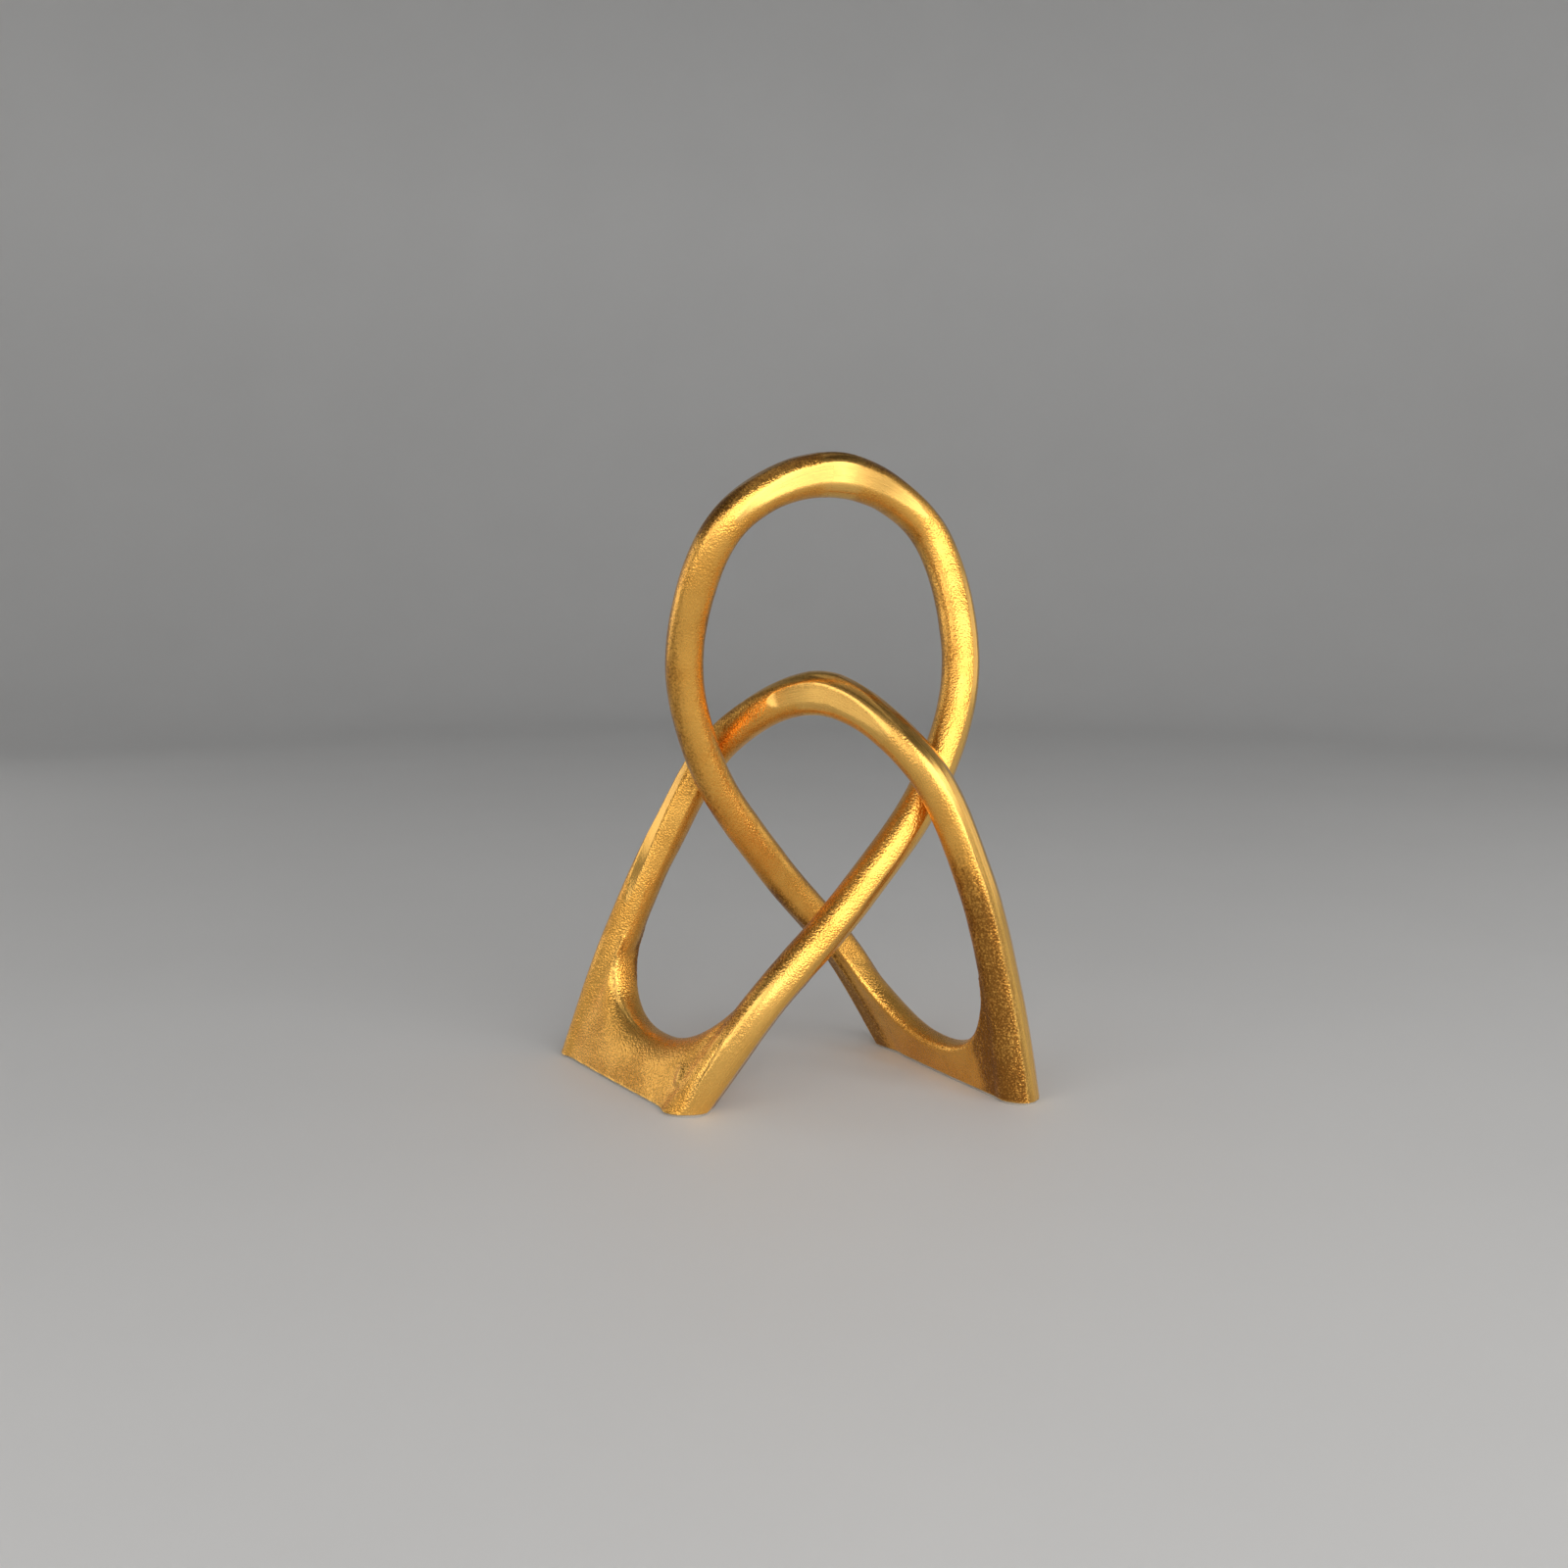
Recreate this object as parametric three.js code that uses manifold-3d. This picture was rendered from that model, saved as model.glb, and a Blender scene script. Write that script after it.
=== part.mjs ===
// Knot sculpture: a trefoil knot of one heavy bar, standing on two flat feet.
//
// Two like castings make the knot, the second turned half a turn about the upright
// axis. Each one runs from the top of the loop down to its foot and up again to the
// top of the arch. The castings are butt-welded at those two tops, the feet are
// ground flat together, and a thin pad is stuck under each foot.
//
// Millimetres, +Z up, the viewer on the -Y side. The knot is drawn upright about
// the Z axis, then leaned a little as the ground feet make it stand.

import * as THREE from "three";
import { mergeVertices } from "three/addons/utils/BufferGeometryUtils.js";
import Module from "manifold-3d";

const wasm = await Module();
wasm.setup();

// Overall spread of the feet. With loopTopHeight below, these are the main sizes.
const standWidth = 200; // between the middles of the two rear legs, on the floor
const standDepth = 88; // between the middles of the two front legs, on the floor

// The bar.
const barWidth = 16.4; // across the bar, in the plane of the loop
const barDepth = 16; // across the bar, out of that plane
const barSquareness = 2.3; // superellipse power: 2 is an ellipse, more is squarer
const topSwell = 3.2; // extra width of the bar at its two welded tops
const topSwellLength = 34; // distance over which that extra width fades
const footSwell = 2.4; // extra width of each leg where it meets the floor
const footSwellLength = 80;

// The limb that makes the loop, from its top down to the front of the foot. Each
// landmark stands so far out from the axis, back from it, and below a top or above
// the floor.
const loopTopHeight = 270;
const loopHalfWidth = 60.5;
const loopShoulder = { out: 43.5, back: 23, drop: 22 };
const loopSide = { back: 10.5, drop: 77.5 };
const loopWaist = { out: 49, back: -5.5, underArch: 36.5 };
const aboveCrossing = { out: 18.5, back: -24, height: 92.5 };
const frontCrook = 3; // how far the front leg bends back above its foot
const belowCrossing = { out: -17, back: frontCrook - standDepth / 2, height: 49 };
const frontOfFoot = { out: -49, back: -standDepth / 2 };

// The limb that makes the arch, from its top down to the rear of the foot. It passes
// behind the loop's bar, so its depths are counted from the room that the bar needs.
// Its leg's landmarks stand so far in from where the leg meets the floor.
const archTopHeight = 176;
const crossingGap = 4; // clear space between the bars where the arch passes the loop
const archBack = barDepth + crossingGap;
const archLean = { shoulder: 3.5, leg: 8 }; // how much further back the arch goes below its top
const archShoulder = { out: -42, back: archBack + archLean.shoulder, drop: 24.5 };
const archThigh = { inset: 32, back: archBack + archLean.leg, height: 103.5 };
const archShin = { inset: 13.5, back: archBack + archLean.leg, height: 52 };
const rearOfFoot = { out: -standWidth / 2, back: 30 };
const rearSpread = { left: 3, right: -4.5 }; // how far out each rear leg was set by hand

// The foot's web, which closes the bar's lower bend and is ground flat below.
const webThickness = { rear: 17, front: 14.5 };
const webHeight = 20; // top of the web at its lowest point
const webRise = { rear: 46, front: 54 }; // how far its edge climbs each leg above that
const webCurve = 2.8; // power of the web's U-shaped edge
const webLowPoint = 0.52; // place of the lowest point, from rear leg 0 to front leg 1

// The two welds.
const weldHalfWidth = 4.5; // bead width each side of the joint
const weldDepth = 4;
const weldCrown = 0.25; // how far the dressed bead stands above the bar
const rootFace = 0.8; // half width of the groove's flat root

// Standing and pads.
const leanRight = THREE.MathUtils.degToRad(2.9);
const leanForward = THREE.MathUtils.degToRad(1.4);
const padThickness = 1;
const seatGap = 0.3; // clearance between pieces that seat on each other

// Fineness of the facets.
const ringSides = 20;
const ringSpacing = 5;
const webSteps = 20;
const webRoundSteps = 8;
const lengthSteps = 400; // steps for measuring each stretch of a limb's curve

const gold = { color: 0xc58a34, metalness: 1, roughness: 0.42 };
const dressedGold = { color: 0xd09a44, metalness: 1, roughness: 0.28 };
const padGrey = { color: 0xb9b2a6, metalness: 0, roughness: 0.9 };

// A limb as a smooth curve. The points before its top are the mirrored limb of the
// other casting, and the last point runs on below the floor, to be trimmed there.
function limbCurve(top, points) {
  const mirrored = points.slice(0, 2).map((p) => new THREE.Vector3(-p.x, -p.y, p.z));
  const foot = points[points.length - 1];
  const leg = foot.clone().sub(points[points.length - 2]).normalize();
  const underFloor = foot.clone().addScaledVector(leg, 2 * webHeight);
  const all = [mirrored[1], mirrored[0], top, ...points, underFloor];
  const curve = new THREE.CatmullRomCurve3(all, false, "catmullrom", 0.5);
  curve.arcLengthDivisions = lengthSteps * (all.length - 1);
  const lengths = curve.getLengths();
  return {
    curve,
    topLength: lengths[lengthSteps * mirrored.length],
    footLength: lengths[lengthSteps * (all.length - 2)],
  };
}

function point(out, back, height) {
  return new THREE.Vector3(out, back, height);
}

function loopLimb() {
  return limbCurve(point(0, 0, loopTopHeight), [
    point(loopShoulder.out, loopShoulder.back, loopTopHeight - loopShoulder.drop),
    point(loopHalfWidth, loopSide.back, loopTopHeight - loopSide.drop),
    point(loopWaist.out, loopWaist.back, archTopHeight - loopWaist.underArch),
    point(aboveCrossing.out, aboveCrossing.back, aboveCrossing.height),
    point(belowCrossing.out, belowCrossing.back, belowCrossing.height),
    point(frontOfFoot.out, frontOfFoot.back, 0),
  ]);
}

function archLimb(spread) {
  return limbCurve(point(0, 0, archTopHeight), [
    point(archShoulder.out, archShoulder.back, archTopHeight - archShoulder.drop),
    point(rearOfFoot.out + archThigh.inset, archThigh.back, archThigh.height),
    point(rearOfFoot.out + archShin.inset - spread / 2, archShin.back, archShin.height),
    point(rearOfFoot.out - spread, rearOfFoot.back, 0),
  ]);
}

// A swelling that fades smoothly to nothing over about its length.
function fade(distance, length) {
  return Math.exp(-2 * (distance / length) ** 2);
}

// Half the bar's width and depth at a frame: it swells at its top and at its foot.
function barRadii(frame) {
  const atTop = topSwell * fade(frame.distance, topSwellLength);
  const atFoot = footSwell * fade(Math.max(frame.toFoot, 0), footSwellLength);
  return { radial: (barWidth + atTop + atFoot) / 2, across: (barDepth + atFoot / 2) / 2 };
}

function superellipse(angle, radial, across) {
  const c = Math.cos(angle);
  const s = Math.sin(angle);
  const power = 2 / barSquareness;
  return [radial * Math.sign(c) * Math.abs(c) ** power, across * Math.sign(s) * Math.abs(s) ** power];
}

// Frames along a limb from its top, carried without twist, starting upright.
function limbFrames(limb, distances) {
  const total = limb.curve.getLength();
  let normal = new THREE.Vector3(0, 0, 1);
  return distances.map((distance) => {
    const u = (limb.topLength + distance) / total;
    const origin = limb.curve.getPointAt(u);
    const tangent = limb.curve.getTangentAt(u);
    normal = normal.clone().addScaledVector(tangent, -normal.dot(tangent)).normalize();
    const side = tangent.clone().cross(normal);
    const toFoot = limb.footLength - limb.topLength - distance;
    return { origin, normal, side, distance, toFoot };
  });
}

// One ring of points round a frame, with an inset from the bar's surface.
function barRing(frame, inset) {
  const { radial, across } = barRadii(frame);
  const ring = [];
  for (let i = 0; i < ringSides; i += 1) {
    const [n, b] = superellipse((2 * Math.PI * i) / ringSides, radial - inset, across - inset);
    ring.push(frame.origin.clone().addScaledVector(frame.normal, n).addScaledVector(frame.side, b));
  }
  return ring;
}

// A closed skin over a row of equal rings: capped at both ends, or joined end to end.
function skin(rings, endToEnd = false) {
  const sides = rings[0].length;
  const points = rings.flat();
  const index = [];
  const rows = endToEnd ? rings.length : rings.length - 1;
  for (let r = 0; r < rows; r += 1) {
    const next = (r + 1) % rings.length;
    for (let i = 0; i < sides; i += 1) {
      const j = (i + 1) % sides;
      const [a, b, c, d] = [r * sides + i, r * sides + j, next * sides + j, next * sides + i];
      index.push(a, b, c, a, c, d);
    }
  }
  if (!endToEnd) {
    const last = (rings.length - 1) * sides;
    for (let i = 1; i < sides - 1; i += 1) {
      index.push(0, i + 1, i, last, last + i, last + i + 1);
    }
  }
  const geometry = new THREE.BufferGeometry().setFromPoints(points);
  geometry.setIndex(index);
  return geometry;
}

// One limb as a solid bar. Its top is bevelled to a flat root for the weld.
function limbBar(limb) {
  const total = limb.curve.getLength() - limb.topLength;
  const steps = Math.ceil(total / ringSpacing);
  const start = weldHalfWidth;
  const distances = [seatGap / 2, rootFace];
  for (let i = 0; i <= steps; i += 1) {
    distances.push(start + ((total - start) * i) / steps);
  }
  const frames = limbFrames(limb, distances);
  return skin(frames.map((frame, i) => barRing(frame, i < 2 ? weldDepth : 0)));
}

// A weld bead: a ring of V section in the groove between two bevelled ends.
function weldBead(limb) {
  const slope = Math.hypot(weldHalfWidth - rootFace, weldDepth) / weldDepth;
  const edge = weldHalfWidth - seatGap * slope;
  const root = Math.max(rootFace - seatGap * slope, rootFace / 4);
  const profile = [
    [-edge, 0],
    [-edge / 2, -weldCrown],
    [edge / 2, -weldCrown],
    [edge, 0],
    [root, weldDepth - seatGap],
    [-root, weldDepth - seatGap],
  ];
  return skin(profile.map(([distance, inset]) => barRing(limbFrames(limb, [0, distance])[1], inset)), true);
}

// Where a limb stands at a height, found by halving: it only falls from its top.
function limbAt(limb, height) {
  let low = limb.topLength / limb.curve.getLength();
  let high = 1;
  for (let i = 0; i < 40; i += 1) {
    const middle = (low + high) / 2;
    if (limb.curve.getPointAt(middle).z > height) {
      low = middle;
    } else {
      high = middle;
    }
  }
  return limb.curve.getPointAt(low);
}

// The web: a wall ruled between the two legs, with a rounded U-shaped upper edge.
function footWeb(rearLeg, frontLeg) {
  const rings = [];
  const bottom = -webHeight;
  for (let i = 0; i <= webSteps; i += 1) {
    const along = i / webSteps;
    const [reach, rise] =
      along < webLowPoint ? [webLowPoint, webRise.rear] : [1 - webLowPoint, webRise.front];
    const top = webHeight + rise * (Math.abs(along - webLowPoint) / reach) ** webCurve;
    const middle = (height) => limbAt(rearLeg, height).lerp(limbAt(frontLeg, height), along);
    const run = limbAt(frontLeg, top).sub(limbAt(rearLeg, top));
    const across = new THREE.Vector3(-run.y, run.x, 0).normalize();
    const half = THREE.MathUtils.lerp(webThickness.rear, webThickness.front, along) / 2;
    const ring = [];
    for (let k = 0; k <= webRoundSteps; k += 1) {
      const angle = (Math.PI * k) / webRoundSteps;
      const height = top - half * (1 - Math.sin(angle));
      ring.push(middle(height).addScaledVector(across, half * Math.cos(angle)));
    }
    ring.push(middle(bottom).addScaledVector(across, -half));
    ring.push(middle(bottom).addScaledVector(across, half));
    rings.push(ring);
  }
  return skin(rings);
}

function solidOf(geometry) {
  const merged = mergeVertices(geometry, 1e-4);
  return new wasm.Manifold(
    new wasm.Mesh({
      numProp: 3,
      vertProperties: new Float32Array(merged.attributes.position.array),
      triVerts: new Uint32Array(merged.index.array),
    }),
  );
}

function geometryOf(solid) {
  const mesh = solid.getMesh();
  const geometry = new THREE.BufferGeometry();
  geometry.setAttribute("position", new THREE.BufferAttribute(new Float32Array(mesh.vertProperties), 3));
  geometry.setIndex(new THREE.BufferAttribute(new Uint32Array(mesh.triVerts), 1));
  geometry.computeVertexNormals();
  return geometry;
}

function named(name, solid, finish) {
  const mesh = new THREE.Mesh(geometryOf(solid), new THREE.MeshStandardMaterial(finish));
  mesh.name = name;
  return mesh;
}

const loop = loopLimb();

// A casting before its foot is ground: both limbs and the web between them.
function castingPattern(arch) {
  return wasm.Manifold.union([
    solidOf(limbBar(loop)),
    solidOf(limbBar(arch)),
    solidOf(footWeb(arch, loop)),
  ]);
}

const knot = new THREE.Group();
knot.rotation.set(leanForward, leanRight, 0);

// Each casting and its pad are cut by the floor as it lies in the casting's own frame.
for (const [side, turn] of [["left", 0], ["right", Math.PI]]) {
  const pose = knot.quaternion.clone();
  pose.multiply(new THREE.Quaternion().setFromAxisAngle(new THREE.Vector3(0, 0, 1), turn));
  const up = new THREE.Vector3(0, 0, 1).applyQuaternion(pose.invert());
  const down = up.clone().negate();
  const pattern = castingPattern(archLimb(rearSpread[side]));
  const ground = pattern.trimByPlane(up.toArray(), padThickness + seatGap);
  const padSlab = pattern.trimByPlane(up.toArray(), 0).trimByPlane(down.toArray(), -padThickness);
  const casting = named(`${side}_casting`, ground, gold);
  const pad = named(`${side}_foot_pad`, padSlab, padGrey);
  for (const mesh of [casting, pad]) {
    mesh.rotation.z = turn;
    knot.add(mesh);
  }
}

knot.add(named("loop_weld", solidOf(weldBead(loop)), dressedGold));
knot.add(named("arch_weld", solidOf(weldBead(archLimb(0))), dressedGold));

// The origin is on the floor, under the middle of the whole knot.
const bounds = new THREE.Box3().setFromObject(knot, true);
const middle = bounds.getCenter(new THREE.Vector3());
knot.position.set(-middle.x, -middle.y, -bounds.min.z);

const sculpture = new THREE.Group();
sculpture.name = "knot_sculpture";
sculpture.add(knot);

export default sculpture;
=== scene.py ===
"""Knot sculpture of gold-lacquered cast aluminium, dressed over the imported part.

Two like castings make the knot, the second turned half a turn about the upright
axis. Each runs from the top of the loop down to its foot and up again to the top
of the arch. The castings meet in two dressed welds, and each foot has a thin pad.
"""

import math
from contextlib import contextmanager

import bmesh
import bpy
import numpy as np
from bpy.props import FloatProperty, FloatVectorProperty, IntProperty, PointerProperty
from mathutils import Matrix, Vector, kdtree


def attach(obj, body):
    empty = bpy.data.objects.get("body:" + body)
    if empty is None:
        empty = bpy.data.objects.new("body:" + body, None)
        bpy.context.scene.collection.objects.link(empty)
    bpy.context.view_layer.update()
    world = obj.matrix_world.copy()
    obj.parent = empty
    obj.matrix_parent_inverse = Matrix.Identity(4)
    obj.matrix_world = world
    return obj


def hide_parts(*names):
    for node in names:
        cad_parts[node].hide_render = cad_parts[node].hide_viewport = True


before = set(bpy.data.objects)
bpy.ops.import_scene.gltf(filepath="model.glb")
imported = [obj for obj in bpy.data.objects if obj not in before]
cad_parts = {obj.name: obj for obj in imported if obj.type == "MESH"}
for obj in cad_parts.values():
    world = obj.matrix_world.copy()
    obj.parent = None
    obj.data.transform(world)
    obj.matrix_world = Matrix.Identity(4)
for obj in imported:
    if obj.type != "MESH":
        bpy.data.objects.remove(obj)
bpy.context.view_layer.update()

bl_info = {
    "name": "Cast Knot Sculpture",
    "version": (1, 0, 0),
    "blender": (4, 5, 0),
    "location": "3D View > Sidebar > Knot",
    "description": "Makes the castings, welds and foot pads of a gold cast-metal knot",
    "category": "Object",
}

MM = 0.001
LOOP, ARCH = 0, 1
HALF_TURN = np.array((-1.0, -1.0, 1.0))
ROUTE_STEP = 1.0 * MM
SPAN_STEPS = 200

# Lines of the pattern that both castings show, in mm in the casting's own frame: out
# from the axis, back from it, and up. They were drawn on the left casting.
RIM_CREASE = (
    (-84.0, 20.0, 64.0),
    (-88.0, 18.0, 48.0),
    (-88.5, 13.0, 34.0),
    (-82.0, 5.0, 24.0),
    (-72.0, -7.0, 18.0),
)
FRONT_LEG_CREASE = (
    (-50.0, -52.5, 2.0),
    (-44.0, -51.5, 16.0),
    (-38.0, -50.5, 27.0),
    (-34.0, -49.0, 36.0),
)
FEEDER_LUMP = (
    (-51.5, -38.0, 19.0),
    (-53.0, -41.0, 14.0),
    (-54.5, -44.5, 8.5),
)
# A place in the window over the foot, and one beside the front leg.
WINDOW_MIDDLE = (-65.0, 0.0, 70.0)
BESIDE_FRONT_LEG = (-10.0, -65.0, 0.0)

# Faces dressed with the welds: the limb, the degrees round it, and the mm from the weld
# where the flat begins to fade and where it ends.
WELD_FACES = (
    (LOOP, -88.0, 26.0, 58.0),
    (LOOP, 88.0, 22.0, 52.0),
    (ARCH, -88.0, 19.0, 26.0),
    (ARCH, 88.0, 14.0, 44.0),
    (LOOP, 0.0, 12.0, 24.0),
)

# Where the metal is made darker: partly thin, brownish lacquer, partly painted shade and a painted
# reflection of a dark surround. The limb, how dark, and whether the mm are from the foot, not the weld.
# Then come the first and last mm along the limb and their fade, and the first and last degrees round it
# and their fade.
FROM_WELD, FROM_FOOT = False, True
PAST_FOOT = 1000.0
BROWN_AND_SHADE_PLACES = (
    (LOOP, 1.0, FROM_WELD, (-20.0, 62.0, 12.0), (-44.0, 44.0, 14.0)),
    (LOOP, 0.6, FROM_WELD, (35.0, 120.0, 20.0), (150.0, 215.0, 18.0)),
    (LOOP, 0.65, FROM_WELD, (110.0, 185.0, 30.0), (-60.0, 5.0, 22.0)),
    (LOOP, 0.7, FROM_FOOT, (-100.0, -45.0, 30.0), (140.0, 190.0, 14.0)),
    (LOOP, 1.0, FROM_FOOT, (-100.0, PAST_FOOT, 30.0), (-62.0, 20.0, 14.0)),
    (ARCH, 0.7, FROM_WELD, (-20.0, 42.0, 22.0), (-70.0, 66.0, 18.0)),
    (ARCH, 0.5, FROM_WELD, (36.0, 80.0, 16.0), (-165.0, -55.0, 15.0)),
    (ARCH, 1.0, FROM_WELD, (128.0, PAST_FOOT, 53.0), (48.0, 165.0, 34.0)),
)

# Lamps: name, power in watts, width and height, place, and tint.
DAYLIGHT, ROOM_LIGHT = (1.0, 0.98, 0.95), (1.0, 0.98, 0.96)
LAMPS = (
    ("window", 21.0, (2.2, 1.1), (0.65, -1.25, 0.66), DAYLIGHT),
    ("room", 4.2, (1.0, 0.8), (-0.9, -1.05, 0.55), ROOM_LIGHT),
    ("ceiling", 3.2, (1.6, 1.6), (0.0, 0.0, 1.9), ROOM_LIGHT),
    ("right_wall", 1.5, (1.0, 0.7), (1.4, 0.15, 0.45), DAYLIGHT),
    ("left_wall", 1.8, (1.0, 0.56), (-1.35, 0.45, 0.32), DAYLIGHT),
)
LAMPS_FACE = (0.0, 0.0, 0.14)
WORLD_LIGHT = (0.03, 0.029, 0.028, 1.0)

# Sizes that the geometry trees take from the property groups, by their labels there.
BAR_SIZES = (
    "Width",
    "Depth",
    "Squareness",
    "Top Swell",
    "Top Swell Length",
    "Foot Swell",
    "Foot Swell Length",
)
SKIN_SIZES = ("Grain Height", "Grain Size", "Wave Height", "Wave Size")


def length(name, description, default):
    """A length in metres."""
    return FloatProperty(
        name=name, description=description, default=default, unit="LENGTH", precision=5
    )


def tilt(name, description, degrees):
    """An angle, given in degrees."""
    return FloatProperty(
        name=name, description=description, default=math.radians(degrees), subtype="ANGLE"
    )


def plain(name, description, default):
    """A number without a unit."""
    return FloatProperty(name=name, description=description, default=default)


def place(name, description, default):
    """A landmark: out from the axis, back from it, and up from the floor, in metres."""
    return FloatVectorProperty(
        name=name, description=description, default=default, subtype="TRANSLATION", precision=5
    )


def colour(name, description, default):
    """A linear colour."""
    return FloatVectorProperty(
        name=name, description=description, default=default, subtype="COLOR", min=0.0, max=1.0
    )


class KnotRoute(bpy.types.PropertyGroup):
    """Landmarks of the bar's route in the left casting, and how the knot stands."""

    loop_top: place("Loop top", "Weld at the top of the loop", (0.0, 0.0, 0.270))
    loop_shoulder: place("Loop shoulder", "Bend beside the loop's top", (0.0435, 0.023, 0.248))
    loop_side: place("Loop side", "Widest place of the loop", (0.0605, 0.0105, 0.1925))
    loop_waist: place("Loop waist", "Where the loop turns in", (0.049, -0.0055, 0.1395))
    above_crossing: place("Above crossing", "Over the lowest crossing", (0.0185, -0.024, 0.0925))
    below_crossing: place("Below crossing", "Under the lowest crossing", (-0.017, -0.041, 0.049))
    front_of_foot: place("Front of foot", "Front leg on the floor", (-0.049, -0.044, 0.0))
    arch_top: place("Arch top", "Weld at the top of the arch", (0.0, 0.0, 0.176))
    arch_shoulder: place("Arch shoulder", "Bend beside the arch's top", (-0.042, 0.0235, 0.1515))
    arch_thigh: place("Arch thigh", "Upper part of the rear leg", (-0.068, 0.028, 0.1035))
    arch_shin: place("Arch shin", "Lower part of the rear leg", (-0.0865, 0.028, 0.052))
    rear_of_foot: place("Rear of foot", "Rear leg on the floor", (-0.100, 0.030, 0.0))
    left_spread: length("Left spread", "How far out the left rear leg was set", 3.0 * MM)
    right_spread: length("Right spread", "How far out the right rear leg was set", -4.5 * MM)
    lean_right: tilt("Lean right", "Lean of the whole knot to the viewer's right", 2.9)
    lean_forward: tilt("Lean forward", "Lean of the whole knot towards the viewer", 1.4)
    shift: place("Shift", "Where the knot's axis meets the floor", (0.005434, 0.000064, 0.0))


class KnotBar(bpy.types.PropertyGroup):
    """Section of the bar, how it swells and how deep it was dressed."""

    width: length("Width", "Across the bar, in the plane of the loop", 16.4 * MM)
    depth: length("Depth", "Across the bar, out of that plane", 16.0 * MM)
    squareness: plain("Squareness", "Superellipse power of the section", 2.3)
    top_swell: length("Top swell", "Extra width at the welded tops", 3.2 * MM)
    top_swell_length: length("Top swell length", "Distance over which it fades", 34.0 * MM)
    foot_swell: length("Foot swell", "Extra width of a leg at the floor", 2.4 * MM)
    foot_swell_length: length("Foot swell length", "Distance over which it fades", 80.0 * MM)
    loop_strip_cut: length("Loop strip cut", "Depth filed off the loop's parting line", 0.35 * MM)
    arch_strip_cut: length("Arch strip cut", "Depth filed off the arch's parting line", 0.4 * MM)
    under_cut: length("Under cut", "Depth ground off under the front leg", 1.3 * MM)
    edge_cut: length("Edge cut", "Depth filed off beside a leg's edge", 0.9 * MM)
    top_cut: length("Top cut", "Depth ground off the bar beside a weld", 0.55 * MM)
    weld_half_width: length("Weld half width", "Dressed weld each side of a joint", 7.0 * MM)
    weld_crown: length("Weld crown", "Height of the dressed weld over the bar", 0.03 * MM)
    weld_dip: length("Weld dip", "How far the weld's edges go under the bar", 0.45 * MM)


class KnotFoot(bpy.types.PropertyGroup):
    """The webbed feet and their pads."""

    web_rear: length("Web at rear", "Thickness of the web beside the rear leg", 17.0 * MM)
    web_front: length("Web at front", "Thickness of the web beside the front leg", 17.0 * MM)
    web_height: length("Web height", "Top of the web at its lowest point", 20.0 * MM)
    rise_rear: length("Rise at rear", "How far the web climbs the rear leg", 42.0 * MM)
    rise_front: length("Rise at front", "How far the web climbs the front leg", 45.0 * MM)
    web_curve: plain("Web curve", "Superellipse power of the web's U-shaped edge", 2.3)
    web_low_point: plain("Web low point", "Its lowest point, from rear leg 0 to front leg 1", 0.52)
    leg_share: plain("Leg share", "Share of the way between the legs that lies in a leg", 0.072)
    outer_rim: length("Outer rim", "How far down the web's outer face its edge rounds", 14.0 * MM)
    inner_rim: length("Inner rim", "How far down the web's inner face its edge rounds", 5.0 * MM)
    fillet_step: length("Fillet step", "Size of the faces of the filled corners", 2.4 * MM)
    pad_thickness: length("Pad thickness", "Thickness of the pad under a foot", 1.0 * MM)
    glue_line: length("Glue line", "Between a foot and its pad", 0.3 * MM)


class KnotFinish(bpy.types.PropertyGroup):
    """Colours and grain of the cast metal and of the pads."""

    gold: colour("Gold", "Lacquered metal", (0.90, 0.47, 0.097))
    bright_gold: colour("Bright gold", "Ground and dressed metal", (0.93, 0.56, 0.15))
    # Deep gold darkens specks, streaks and the grain's pits as the metal's own tone; it also paints
    # shade into the corners between the legs and into part of the darkened places.
    deep_gold_and_painted_shade: colour("Deep gold", "Metal in the hollows of the grain", (0.20, 0.07, 0.012))
    pad_grey: colour("Pad grey", "Rubber sheet of the pads", (0.48, 0.45, 0.39))
    skin_step: length("Skin step", "Size of the faces of the cast skin", 0.76 * MM)
    grain_height: length("Grain height", "Height of the sand grain", 0.09 * MM)
    grain_size: length("Grain size", "Spacing of the sand grain", 1.5 * MM)
    wave_height: length("Wave height", "Unevenness of the hand-made pattern", 0.5 * MM)
    wave_size: length("Wave size", "Spacing of that unevenness", 16.0 * MM)
    seed: IntProperty(name="Seed", description="Seed of the grain", default=7)


class KnotStage(bpy.types.PropertyGroup):
    """Camera and floor."""

    camera_place: place("Camera", "Place of the camera", (-0.00268, -0.64649, 0.23033))
    camera_pitch: tilt("Pitch", "How far the camera looks down", 8.386)
    lens: plain("Lens", "Lens in mm on a 36 mm frame", 33.75)
    floor_colour: colour("Floor", "Colour of the floor and wall", (0.70, 0.705, 0.71))
    floor_radius: length("Floor radius", "Radius of the flat floor", 1.5)
    floor_bend: length("Floor bend", "Radius of the bend into the wall", 0.9)
    wall_height: length("Wall height", "Height of the wall round the floor", 4.0)


class KnotSculpture(bpy.types.PropertyGroup):
    """All the sizes and colours of the knot."""

    route: PointerProperty(type=KnotRoute)
    bar: PointerProperty(type=KnotBar)
    foot: PointerProperty(type=KnotFoot)
    finish: PointerProperty(type=KnotFinish)
    stage: PointerProperty(type=KnotStage)


def settings():
    """The scene's property groups."""
    return bpy.context.scene.knot_sculpture


def sizes_of(group, labels):
    """A property group's values by their labels in a geometry tree."""
    return {label: getattr(group, label.lower().replace(" ", "_")) for label in labels}


# Shares, turns and distances.


def step(values, low, high):
    """A smooth rise from 0 to 1 between two values."""
    share = np.clip((values - low) / (high - low), 0.0, 1.0)
    return share * share * (3.0 - 2.0 * share)


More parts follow.
